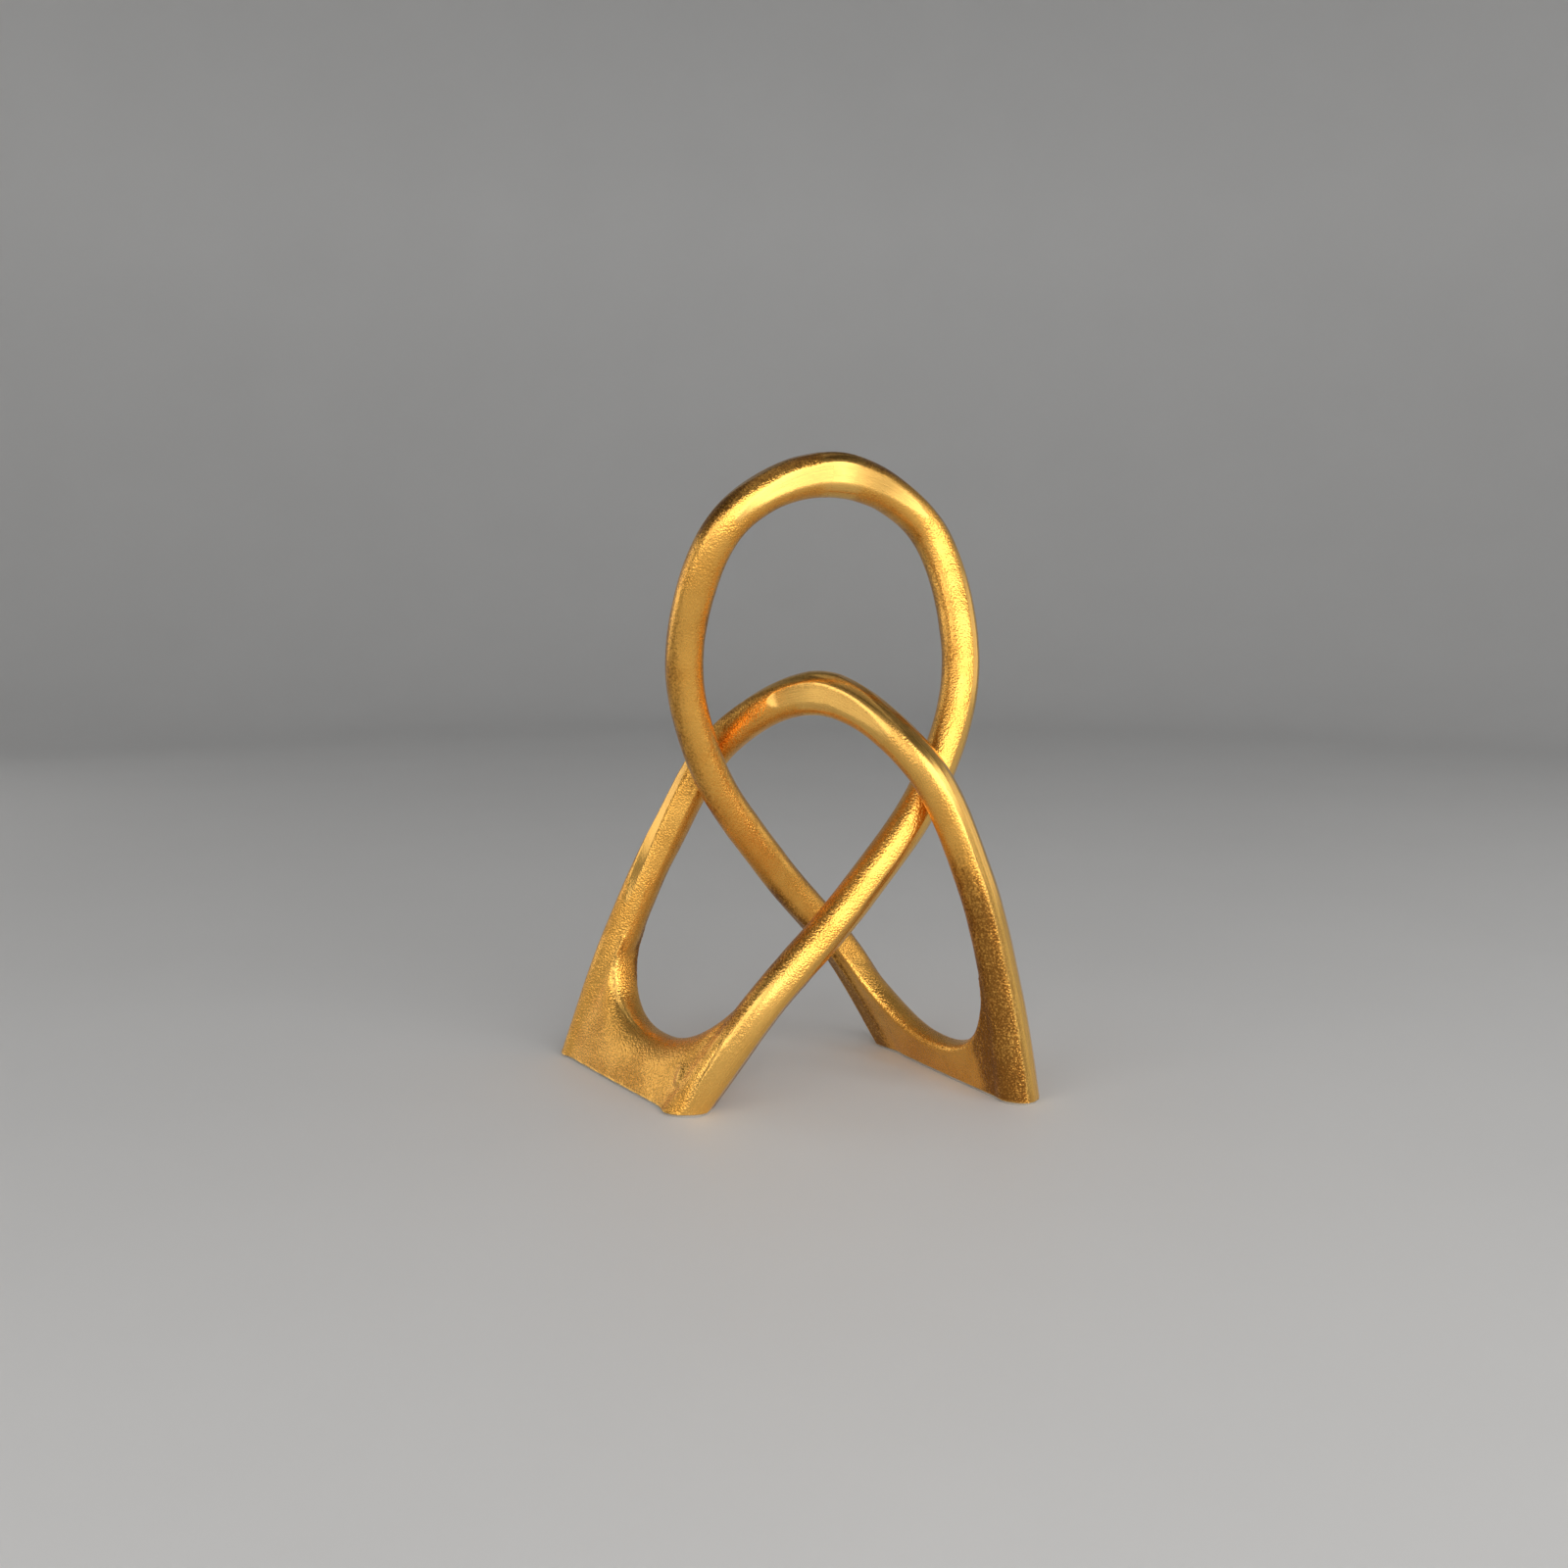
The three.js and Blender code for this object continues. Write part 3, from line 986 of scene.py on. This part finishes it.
def filled_core(shapes, name):
    """A core just inside a casting that fills the corners between its legs and web."""
    inset = 0.5 * MM
    core = fused_mesh(shapes, settings().foot.fillet_step, name)
    fill_corners(core, times=30, passes=6)
    move_points(core, points_of(core) - inset * normals_of(core))
    source = in_scene(name, core)
    rounding = source.modifiers.new("rounding", "SUBSURF")
    rounding.levels = 1
    rounding.render_levels = 1
    return plain_mesh(source, name)


def cut_at_floor(mesh, height):
    """Cuts a mesh flat at a height and closes it there."""
    with edited(mesh) as work:
        cut = bmesh.ops.bisect_plane(
            work,
            geom=work.verts[:] + work.edges[:] + work.faces[:],
            dist=1e-6,
            plane_co=(0.0, 0.0, height),
            plane_no=(0.0, 0.0, -1.0),
            clear_outer=True,
        )
        edges = [item for item in cut["geom_cut"] if isinstance(item, bmesh.types.BMEdge)]
        bmesh.ops.edgeloop_fill(work, edges=edges)


# Dressing of the castings.


def bar_measures(points, limbs, move):
    """For each point: its nearest limb, the distance along it, and the place round it."""
    origin = moved(np.concatenate([limb.origin for limb in limbs]), move)
    outer, side, tangent = (
        turned(np.concatenate([getattr(limb, key) for limb in limbs]), move)
        for key in ("outer", "side", "tangent")
    )
    distance = np.concatenate([limb.distance for limb in limbs])
    number = np.concatenate([np.full(len(limb.origin), i) for i, limb in enumerate(limbs)])
    halves = np.concatenate([limb.half_sizes(limb.distance) for limb in limbs], axis=1)
    tree = search_tree(origin)
    nearest = np.array([tree.find(point)[1] for point in points])
    away = points - origin[nearest]
    return {
        "limb": number[nearest],
        "outer": outer[nearest],
        "side": side[nearest],
        "out": dots(away, outer[nearest]),
        "aside": dots(away, side[nearest]),
        "along": distance[nearest] + dots(away, tangent[nearest]),
        "half_width": halves[0, nearest],
        "half_depth": halves[1, nearest],
    }


def turn_of(seen):
    """The degrees round the bar at which each point lies, from its outer side."""
    return np.degrees(np.arctan2(seen["aside"], seen["out"]))


def grind(points, seen, limb, angle, cut, ease):
    """Grinds a flat along a limb, at an angle round it and to a depth. Returns where it is flat.

    Metal that stands out past the bar by the ease, or lies far from the bar's middle, is the
    web or a filled corner and is left. Nearer than that, less and less of it is left.
    """
    least_cut = 0.02 * MM
    close, far = 10.5 * MM, 18.0 * MM
    cosine, sine = np.cos(angle), np.sin(angle)
    facing = seen["outer"] * cosine[:, None] + seen["side"] * sine[:, None]
    reach = seen["out"] * cosine + seen["aside"] * sine
    squareness = settings().bar.squareness
    power = squareness / (squareness - 1.0)
    support = np.abs(seen["half_width"] * cosine) ** power + np.abs(seen["half_depth"] * sine) ** power
    support **= 1.0 / power
    over = reach - (support - cut)
    on_bar = 1.0 - step(reach - support, 0.15 * ease, ease)
    on_bar *= 1.0 - step(np.hypot(seen["out"], seen["aside"]), close, far)
    on_bar *= (seen["limb"] == limb) & (cut > least_cut)
    down = np.maximum(over, 0.0) * on_bar
    points -= facing * down[:, None]
    seen["out"] -= down * cosine
    seen["aside"] -= down * sine
    return step(over, -0.10 * MM, 0.02 * MM) * on_bar


class Dressing:
    """The flats that belt and file left on a casting, and how smooth they left it."""

    def __init__(self, points, seen, loop_end):
        self.points = points
        self.seen = seen
        self.loop_end = loop_end
        self.smooth = np.zeros(len(points))

    def along(self, first, last):
        """A rise from 0 to 1 between two distances from the weld, in mm."""
        return step(self.seen["along"], first * MM, last * MM)

    def near_foot(self, first, last):
        """A rise from 0 to 1 between two distances short of the front leg's foot, in mm."""
        return step(self.seen["along"], self.loop_end - first * MM, self.loop_end - last * MM)

    def mark(self, share):
        """Marks how smooth a tool left the metal."""
        self.smooth = np.maximum(self.smooth, share)

    def flat(self, limb, degrees, cut, leaves_smooth, ease=2.0 * MM):
        """Grinds a flat along a limb and marks how smooth it is left."""
        angle = np.radians(np.broadcast_to(degrees, len(self.points)))
        self.mark(leaves_smooth * grind(self.points, self.seen, limb, angle, cut, ease))

    def parting_line(self):
        """Narrow facets filed along the outer side of each limb."""
        bar = settings().bar
        loop_cut = bar.loop_strip_cut * self.along(18.0, 40.0)
        loop_turn = 45.0 * self.along(10.0, 90.0)
        for aside in (-11.0, 11.0):
            self.flat(LOOP, loop_turn + aside, loop_cut, 1.0)
        arch_cut = bar.arch_strip_cut * self.along(3.0, 12.0)
        arch_turn = -25.0 + 35.0 * self.along(0.0, 45.0)
        for aside in (-22.0, 0.0, 22.0):
            self.flat(ARCH, arch_turn + aside, arch_cut, 1.0)

    def front_leg(self):
        """The flat under the front leg, its half-smooth face, and the flat on its inner side."""
        bar = settings().bar
        low = self.near_foot(95.0, 55.0)
        self.flat(LOOP, 22.0, bar.under_cut * low, 0.3)
        turn = turn_of(self.seen)
        crease = 138.0 - 26.0 * self.near_foot(40.0, 0.0)
        face = step(turn, 50.0, 60.0) * (1.0 - step(turn, crease - 6.0, crease + 6.0))
        self.mark(0.7 * (self.seen["limb"] == LOOP) * low * face)
        inner_turn = -28.0 - 6.0 * self.near_foot(65.0, 38.0)
        inner_cut = bar.edge_cut * self.near_foot(105.0, 60.0)
        self.flat(LOOP, inner_turn, inner_cut, 0.4, ease=6.0 * MM)

    def rear_leg(self):
        """The edge down the rear leg's outer face: filed on one side of it, as cast on the other."""
        edge = -79.0 - 34.0 * self.along(92.0, 152.0)
        here = self.along(62.0, 90.0) * (1.0 - self.along(112.0, 150.0))
        cut = 0.8 * settings().bar.edge_cut * here
        for aside, leaves_smooth in ((26.0, 0.7), (-26.0, 0.0)):
            self.flat(ARCH, edge + aside, cut, leaves_smooth)

    def beside_welds(self):
        """The crests and faces that were dressed together with the welds."""
        for limb, degrees, first, last in WELD_FACES:
            cut = settings().bar.top_cut * (1.0 - self.along(first, last))
            self.flat(limb, degrees, cut, 1.0)
        shoulder = 1.0 - 0.45 * self.along(30.0, 44.0) - 0.55 * self.along(55.0, 85.0)
        shoulder *= between(turn_of(self.seen), 20.0, 120.0, 14.0)
        self.mark(shoulder * (self.seen["limb"] == ARCH))

    def run(self):
        """Makes every flat."""
        self.parting_line()
        self.front_leg()
        self.rear_leg()
        self.beside_welds()


def carried_line(line, drawn, made, loop):
    """A pattern line drawn on one casting, carried to one whose rear leg is set out otherwise."""
    span_steps = 24
    points = np.array(line) * MM
    rear = drawn.at_height(points[:, 2])
    run = (loop.at_height(points[:, 2]) - rear)[:, :2]
    share = dots(points[:, :2] - rear[:, :2], run) / np.sum(run**2, axis=1)
    set_out = made.at_height(points[:, 2]) - rear
    points = points + set_out * (1.0 - np.clip(share, 0.0, 1.0))[:, None]
    ends = [2.0 * points[0] - points[1], *points, 2.0 * points[-1] - points[-2]]
    return catmull_rom(ends, 1, span_steps)[:-span_steps]


def laid_on(points, line):
    """A line laid on the nearest points of a surface, and evened."""
    tree = search_tree(points)
    laid = np.array([tree.find(point)[0] for point in line])
    for _ in range(6):
        laid[1:-1] = 0.5 * laid[1:-1] + 0.25 * (laid[:-2] + laid[2:])
    return laid


def line_relief(points, line, reach, fade_in):
    """Each point's place from the nearest of a line's points, and a share that ends with the line."""
    tree = search_tree(line)
    near = np.all((points > line.min(axis=0) - reach) & (points < line.max(axis=0) + reach), axis=1)
    away = np.full((len(points), 3), 1.0)
    fade = np.zeros(len(points))
    for i in np.flatnonzero(near):
        place_on, index, _ = tree.find(points[i])
        away[i] = points[i] - np.array(place_on)
        fade[i] = index / (len(line) - 1)
    return away, step(fade, 0.0, fade_in) * (1.0 - step(fade, 0.75, 1.0))


def raise_lump(points, normals, line, height, width):
    """Raises a soft lump along a line. Returns how far each point lies on it."""
    away, fade = line_relief(points, line, 4.0 * width, 0.5)
    share = fade * np.exp(-((np.linalg.norm(away, axis=1) / width) ** 2))
    points += normals * (height * share)[:, None]
    return share


def cut_crease(points, normals, line, raised_towards, height, width, fade_in):
    """Makes a step along a line: a low bead on one side of it and a valley on the other.

    Returns how smooth the step leaves each point.
    """
    half_step = 0.35 * MM
    away, fade = line_relief(points, line, 6.0 * width, fade_in)
    distance = np.linalg.norm(away, axis=1)
    towards = raised_towards - (points - away)
    aside = dots(away, towards) / np.linalg.norm(towards, axis=1)
    in_valley = np.exp(-((distance / width) ** 2))
    bead = 0.8 * height * np.exp(-distance / (1.6 * width))
    share = step(aside, -half_step, half_step)
    points += normals * (fade * (share * bead - (1.0 - share) * (height * in_valley)))[:, None]
    return fade * in_valley


def pattern_relief(points, normals, arch, loop, move, sharpness):
    """The pattern's creases and lump as this casting has them, sharp or worn.

    Returns how smooth the creases leave each point.
    """
    drawn = arch_limb(settings().route.left_spread)
    width = 1.8 * MM
    height = 0.4 * sharpness * MM
    lump_height, lump_width = 1.2 * MM, 3.0 * MM

    def carried(line):
        """A pattern line on this casting."""
        return laid_on(points, moved(carried_line(line, drawn, arch, loop), move))

    window = moved(np.array(WINDOW_MIDDLE) * MM, move)
    beside = moved(np.array(BESIDE_FRONT_LEG) * MM, move)
    rim = cut_crease(points, normals, carried(RIM_CREASE), window, 1.5 * height, width, 0.4)
    leg = cut_crease(points, normals, carried(FRONT_LEG_CREASE), beside, height, width, 0.15)
    lump = raise_lump(points, normals, carried(FEEDER_LUMP), lump_height, lump_width)
    return np.maximum.reduce((0.8 * rim, 0.8 * leg, 0.5 * lump))


def patina_and_painted_shade(seen, loop_end):
    """How dark each point is made: partly thin, brownish lacquer, partly painted shade and a painted
    reflection of a dark surround.
    """
    turn = turn_of(seen)
    brown_and_shade = np.zeros(len(turn))
    for limb, strength, from_foot, along_limb, round_limb in BROWN_AND_SHADE_PLACES:
        along = seen["along"] - loop_end if from_foot else seen["along"]
        angle = np.mod(turn, 360.0) if round_limb[1] > 180.0 else turn
        share = between(along / MM, *along_limb) * between(angle, *round_limb)
        brown_and_shade = np.maximum(brown_and_shade, strength * share * (seen["limb"] == limb))
    return brown_and_shade


def dress_casting(mesh, loop, arch, move, sharpness):
    """Grinds a casting's flats and marks what is smooth, for its skin and its finish."""
    bar = settings().bar
    points = points_of(mesh)
    seen = bar_measures(points, (loop, arch), move)
    dressing = Dressing(points, seen, loop.foot_distance)
    dressing.run()
    move_points(mesh, points)
    creased = pattern_relief(points, normals_of(mesh), arch, loop, move, sharpness)
    move_points(mesh, points)
    # The dressed metal goes a little past the weld's own half width.
    at_weld = 1.0 - dressing.along(7.0, 12.0)
    smooth = np.maximum.reduce((dressing.smooth, at_weld, creased))
    # Brownish lacquer in part, painted shade and painted reflection in part, softened and kept for the
    # finish.
    store(mesh, "patina_and_painted_shade", softened(mesh, patina_and_painted_shade(seen, loop.foot_distance), 20))
    store(mesh, "ground", softened(mesh, smooth, 3))
    store(mesh, "along", seen["along"])
    store(mesh, "around", np.arctan2(seen["aside"], seen["out"]) * bar.width / 2.0)


def smooth_sole(mesh, floor):
    """Marks a ground sole as smooth up to its edge."""
    ground = np.empty(len(mesh.vertices), dtype=np.float32)
    mesh.attributes["ground"].data.foreach_get("value", ground)
    sole = 1.0 - step(points_of(mesh)[:, 2], floor + 0.05 * MM, floor + 0.9 * MM)
    store(mesh, "ground", np.maximum(ground, sole))


def flatten_sole(mesh, floor):
    """Puts the points of a ground sole back on its plane."""
    points = points_of(mesh)
    low = points[:, 2] < floor + 0.04 * MM
    points[low, 2] = floor
    move_points(mesh, points)


def mark_pit_wash_and_corner_shade(mesh):
    """Keeps how deep each point lies in the grain, and in the corners between the legs. The finish
    darkens the grain's pits as a dark wash, and the corners as painted shade.
    """
    grain_depth, corner_depth = 0.18 * MM, 3.0 * MM
    points = points_of(mesh)
    normals = normals_of(mesh)
    near = dots(softened(mesh, points, 5) - points, normals)
    near -= softened(mesh, near, 30)
    wide = dots(softened(mesh, points, 60) - points, normals)
    in_grain = np.clip(near / grain_depth, -1.0, 0.6)
    corner_shade = np.clip(wide / corner_depth, 0.0, 0.2)
    # Grain depth gives the dark wash in the pits; corner depth gives painted shade.
    store(mesh, "pit_wash_and_corner_shade", in_grain + corner_shade)


class KNOT_OT_castings(bpy.types.Operator):
    """Makes both castings with their sand-cast skin"""

    bl_idname = "knot.castings"
    bl_label = "Castings"

    def execute(self, context):
        """Sweeps the limbs, fuses them with the web, grinds the foot and casts the skin."""
        sculpture = settings()
        finish = sculpture.finish
        floor = sculpture.foot.pad_thickness + sculpture.foot.glue_line
        gold = cast_gold("cast_gold")
        sweep = bar_sweep_tree()
        skin = cast_skin_tree()
        values = sizes_of(finish, SKIN_SIZES)
        values.update({"Seed": float(finish.seed), "Material": gold})
        loop = loop_limb()
        for side, turn, spread, sharpness in (
            ("left", 0.0, sculpture.route.left_spread, 1.0),
            ("right", math.pi, sculpture.route.right_spread, 0.4),
        ):
            arch = arch_limb(spread)
            name = side + "_casting_skin"
            shapes = [
                bar_mesh(loop, sweep, name + "_loop"),
                bar_mesh(arch, sweep, name + "_arch"),
                web_mesh(arch, loop, name + "_web"),
            ]
            shapes.append(filled_core(shapes, name + "_core"))
            mesh = fused_mesh(shapes, finish.skin_step, name)
            for shape in shapes:
                bpy.data.meshes.remove(shape)
            move = standing(turn)
            mesh.transform(move)
            fill_corners(mesh, times=40, passes=3)
            move_points(mesh, softened(mesh, points_of(mesh), 3))
            dress_casting(mesh, loop, arch, move, sharpness)
            cut_at_floor(mesh, floor)
            smooth_sole(mesh, floor)
            mesh = with_tree(mesh, skin, values, name)
            flatten_sole(mesh, floor)
            mark_pit_wash_and_corner_shade(mesh)
            finish_piece(name, mesh, side + "_casting")
        return {"FINISHED"}


# Welds and pads.


def section(turns, half_width, half_depth):
    """Out and aside parts of the bar's superellipse at angles round it."""
    power = 2.0 / settings().bar.squareness
    waves = ((np.cos(turns), half_width), (np.sin(turns), half_depth))
    return [np.sign(wave) * np.abs(wave) ** power * half for wave, half in waves]


def weld_mesh(limbs, number, move, name):
    """A dressed weld: a low sleeve over the joint that dips under the bar at both edges.

    Half of it is made on the left casting. The other half is that half turned.
    """
    bar = settings().bar
    rows, sides = 19, 96
    shares = np.concatenate((np.linspace(0.0, 0.98, rows - 2), (0.995, 1.0)))
    turns = 2.0 * np.pi * np.arange(sides) / sides
    # The weld's edge wanders round the bar and never passes the half width.
    wavy = 0.85 + 0.10 * np.sin(2.0 * turns + 0.6) + 0.05 * np.sin(5.0 * turns)
    distances = np.outer(shares, wavy) * bar.weld_half_width
    points = []
    for distance in distances:
        origin, outer, side = limbs[number].frame_at(distance)
        out, aside = section(turns, *limbs[number].half_sizes(distance))
        points.append(origin + out[:, None] * outer + aside[:, None] * side)
    points = np.concatenate(points)
    seen = bar_measures(points, limbs, Matrix.Identity(4))
    # The weld is darkened like the limbs it joins: brownish lacquer in part, painted shade and
    # reflection in part.
    brown_and_shade = patina_and_painted_shade(seen, limbs[LOOP].foot_distance).reshape(rows, sides)
    Dressing(points, seen, limbs[LOOP].foot_distance).beside_welds()
    rings = points.reshape(rows, sides, 3)

    def with_turned(half, turned_half):
        """A half and the turned half, whose rings run the other way round."""
        return np.concatenate((turned_half[:, -np.arange(sides)][:0:-1], half))

    whole = with_turned(rings, rings * HALF_TURN)
    all_rows = len(whole)
    mesh = closed_mesh(name, whole.reshape(-1, 3), ring_faces(all_rows, sides))
    lift = np.full((all_rows, sides), bar.weld_crown)
    lift[0] = lift[-1] = -bar.weld_dip
    move_points(mesh, points_of(mesh) + normals_of(mesh) * lift.reshape(-1, 1))
    mesh.transform(move)
    store(mesh, "along", np.concatenate((-distances[:0:-1], distances)).ravel())
    store(mesh, "around", np.tile(turns * bar.width / 2.0, all_rows))
    store(mesh, "ground", np.ones(len(mesh.vertices)))
    store(mesh, "pit_wash_and_corner_shade", np.zeros(len(mesh.vertices)))
    store(mesh, "patina_and_painted_shade", with_turned(brown_and_shade, brown_and_shade).ravel())
    mesh.shade_smooth()
    mesh.set_sharp_from_angle(angle=math.radians(35.0))
    return mesh


class KNOT_OT_welds(bpy.types.Operator):
    """Makes the two dressed welds where the castings meet"""

    bl_idname = "knot.welds"
    bl_label = "Welds"

    def execute(self, context):
        """Lays a low sleeve of weld metal over each joint."""
        gold = cast_gold("dressed_weld_gold")
        move = standing(0.0)
        limbs = (loop_limb(), arch_limb(0.0))
        for number, node in ((LOOP, "loop_weld"), (ARCH, "arch_weld")):
            mesh = weld_mesh(limbs, number, move, node + "_bead")
            mesh.materials.append(gold)
            finish_piece(node + "_bead", mesh, node)
        return {"FINISHED"}


def sole_outline(mesh, floor):
    """The edge loop of a casting's flat sole, in order."""
    work = bmesh.new()
    work.from_mesh(mesh)
    flat = [face for face in work.faces if face.normal.z < -0.9]
    flat = [face for face in flat if face.calc_center_median().z < floor + 0.1 * MM]
    border = {}
    for face in flat:
        for loop in face.loops:
            if loop.link_loop_radial_next.face not in flat:
                border[loop.vert.index] = loop.link_loop_next.vert.index
    work.verts.ensure_lookup_table()
    start = next(iter(border))
    order = [start]
    while border[order[-1]] != start:
        order.append(border[order[-1]])
    outline = np.array([work.verts[i].co for i in order])
    work.free()
    return outline


def pad_mesh(outline, thickness, top, name):
    """A sheet of an outline's shape with rounded edges, up to the sole above it."""
    count, evenings = 220, 12
    ease, set_in = 0.25 * MM, 0.45 * MM
    closed = np.vstack((outline, outline[:1]))
    reach = lengths_along(closed)
    stations = np.linspace(0.0, reach[-1], count, endpoint=False)
    even = rows_at(stations, reach, closed[:, :2])
    for _ in range(evenings):
        even = 0.5 * even + 0.25 * (np.roll(even, 1, axis=0) + np.roll(even, -1, axis=0))
    ahead = np.roll(even, -1, axis=0) - np.roll(even, 1, axis=0)
    inward = np.column_stack((-ahead[:, 1], ahead[:, 0]))
    inward /= np.linalg.norm(inward, axis=1)[:, None]
    x, y = even.T
    if np.sum(x * np.roll(y, -1) - np.roll(x, -1) * y) < 0.0:
        inward = -inward
    edge = (
        (ease, 0.0),
        (0.0, ease),
        (0.0, thickness - ease),
        (ease, thickness),
        (ease, top),
    )
    rows = []
    for inset, height in edge:
        ring = even + inward * (set_in + inset)
        rows.append(np.column_stack((ring, np.full(count, height))))
    return closed_mesh(name, np.concatenate(rows), ring_faces(len(rows), count))


class KNOT_OT_pads(bpy.types.Operator):
    """Makes the thin pad under each foot"""

    bl_idname = "knot.pads"
    bl_label = "Foot pads"

    def execute(self, context):
        """Cuts a sheet to each sole's outline, with eased edges."""
        foot = settings().foot
        rubber = rubber_sheet("pad_rubber")
        floor = foot.pad_thickness + foot.glue_line
        for side in ("left", "right"):
            outline = sole_outline(bpy.data.objects[side + "_casting_skin"].data, floor)
            mesh = pad_mesh(outline, foot.pad_thickness, floor, side + "_foot_pad_sheet")
            mesh.materials.append(rubber)
            finish_piece(side + "_foot_pad_sheet", mesh, side + "_foot_pad")
        return {"FINISHED"}


# Stage.


def area_light(name, power, size, at, tint):
    """A soft rectangular lamp that faces the knot."""
    data = bpy.data.lights.new(name, "AREA")
    data.shape = "RECTANGLE"
    data.size, data.size_y = size
    data.energy = power
    data.color = tint
    lamp = in_scene(name, data)
    lamp.location = at
    lamp.rotation_euler = (Vector(LAMPS_FACE) - Vector(at)).to_track_quat("-Z", "Y").to_euler()


def round_floor(flat, bend, height, name):
    """A round flat floor that bends up into a wall all round it."""
    sides, bend_steps = 96, 24
    profile = [(0.2 * flat, 0.0), (flat, 0.0)]
    for k in range(1, bend_steps + 1):
        angle = math.pi / 2.0 * k / bend_steps
        profile.append((flat + bend * math.sin(angle), bend * (1.0 - math.cos(angle))))
    profile.append((flat + bend, height))
    turns = 2.0 * np.pi * np.arange(sides) / sides
    rings = [
        np.column_stack((radius * np.cos(turns), radius * np.sin(turns), np.full(sides, z)))
        for radius, z in profile
    ]
    open_above = ring_faces(len(rings), sides)[:-1]
    mesh = mesh_from(name, np.concatenate(rings), [face[::-1] for face in open_above])
    mesh.shade_smooth()
    return mesh


class KNOT_OT_stage(bpy.types.Operator):
    """Makes the floor, the light and the camera"""

    bl_idname = "knot.stage"
    bl_label = "Stage"

    def execute(self, context):
        """Sets a pale floor that curves up into a wall all round, soft lamps and the camera."""
        stage = settings().stage
        scene = context.scene
        mesh = round_floor(stage.floor_radius, stage.floor_bend, stage.wall_height, "floor")
        mesh.materials.append(pale_backdrop("pale_backdrop"))
        floor = in_scene("floor", mesh)

        world = bpy.data.worlds.new("room")
        world.use_nodes = True
        background = world.node_tree.nodes["Background"]
        background.inputs["Color"].default_value = WORLD_LIGHT
        background.inputs["Strength"].default_value = 1.0
        scene.world = world
        for lamp in LAMPS:
            area_light(*lamp)

        data = bpy.data.cameras.new("camera")
        data.sensor_fit = "HORIZONTAL"
        data.sensor_width = 36.0
        data.lens = stage.lens
        data.clip_start = 0.01
        camera = in_scene("camera", data)
        camera.location = stage.camera_place
        camera.rotation_euler = (math.pi / 2.0 - stage.camera_pitch, 0.0, 0.0)
        scene.camera = camera
        scene.view_settings.view_transform = "Standard"
        return {"FINISHED"}


class KNOT_PT_panel(bpy.types.Panel):
    """Sizes, colours and steps of the knot"""

    bl_idname = "KNOT_PT_panel"
    bl_label = "Cast Knot Sculpture"
    bl_space_type = "VIEW_3D"
    bl_region_type = "UI"
    bl_category = "Knot"

    def draw(self, context):
        """Lists each group's properties and the operators."""
        layout = self.layout
        sculpture = settings()
        for title in ("route", "bar", "foot", "finish", "stage"):
            box = layout.box()
            box.label(text=title.capitalize())
            group = getattr(sculpture, title)
            for key in group.bl_rna.properties.keys():
                if key not in {"rna_type", "name"}:
                    box.prop(group, key)
        for operator in (KNOT_OT_castings, KNOT_OT_welds, KNOT_OT_pads, KNOT_OT_stage):
            layout.operator(operator.bl_idname)


CLASSES = (
    KnotRoute,
    KnotBar,
    KnotFoot,
    KnotFinish,
    KnotStage,
    KnotSculpture,
    KNOT_OT_castings,
    KNOT_OT_welds,
    KNOT_OT_pads,
    KNOT_OT_stage,
    KNOT_PT_panel,
)


def register():
    """Registers the classes and the scene's property."""
    for cls in CLASSES:
        bpy.utils.register_class(cls)
    bpy.types.Scene.knot_sculpture = PointerProperty(type=KnotSculpture)


def unregister():
    """Takes the property and the classes away again."""
    del bpy.types.Scene.knot_sculpture
    for cls in reversed(CLASSES):
        bpy.utils.unregister_class(cls)


def main():
    """Makes the whole scene."""
    register()
    bpy.ops.knot.stage()
    bpy.ops.knot.castings()
    bpy.ops.knot.welds()
    bpy.ops.knot.pads()


if __name__ == "__main__":
    main()
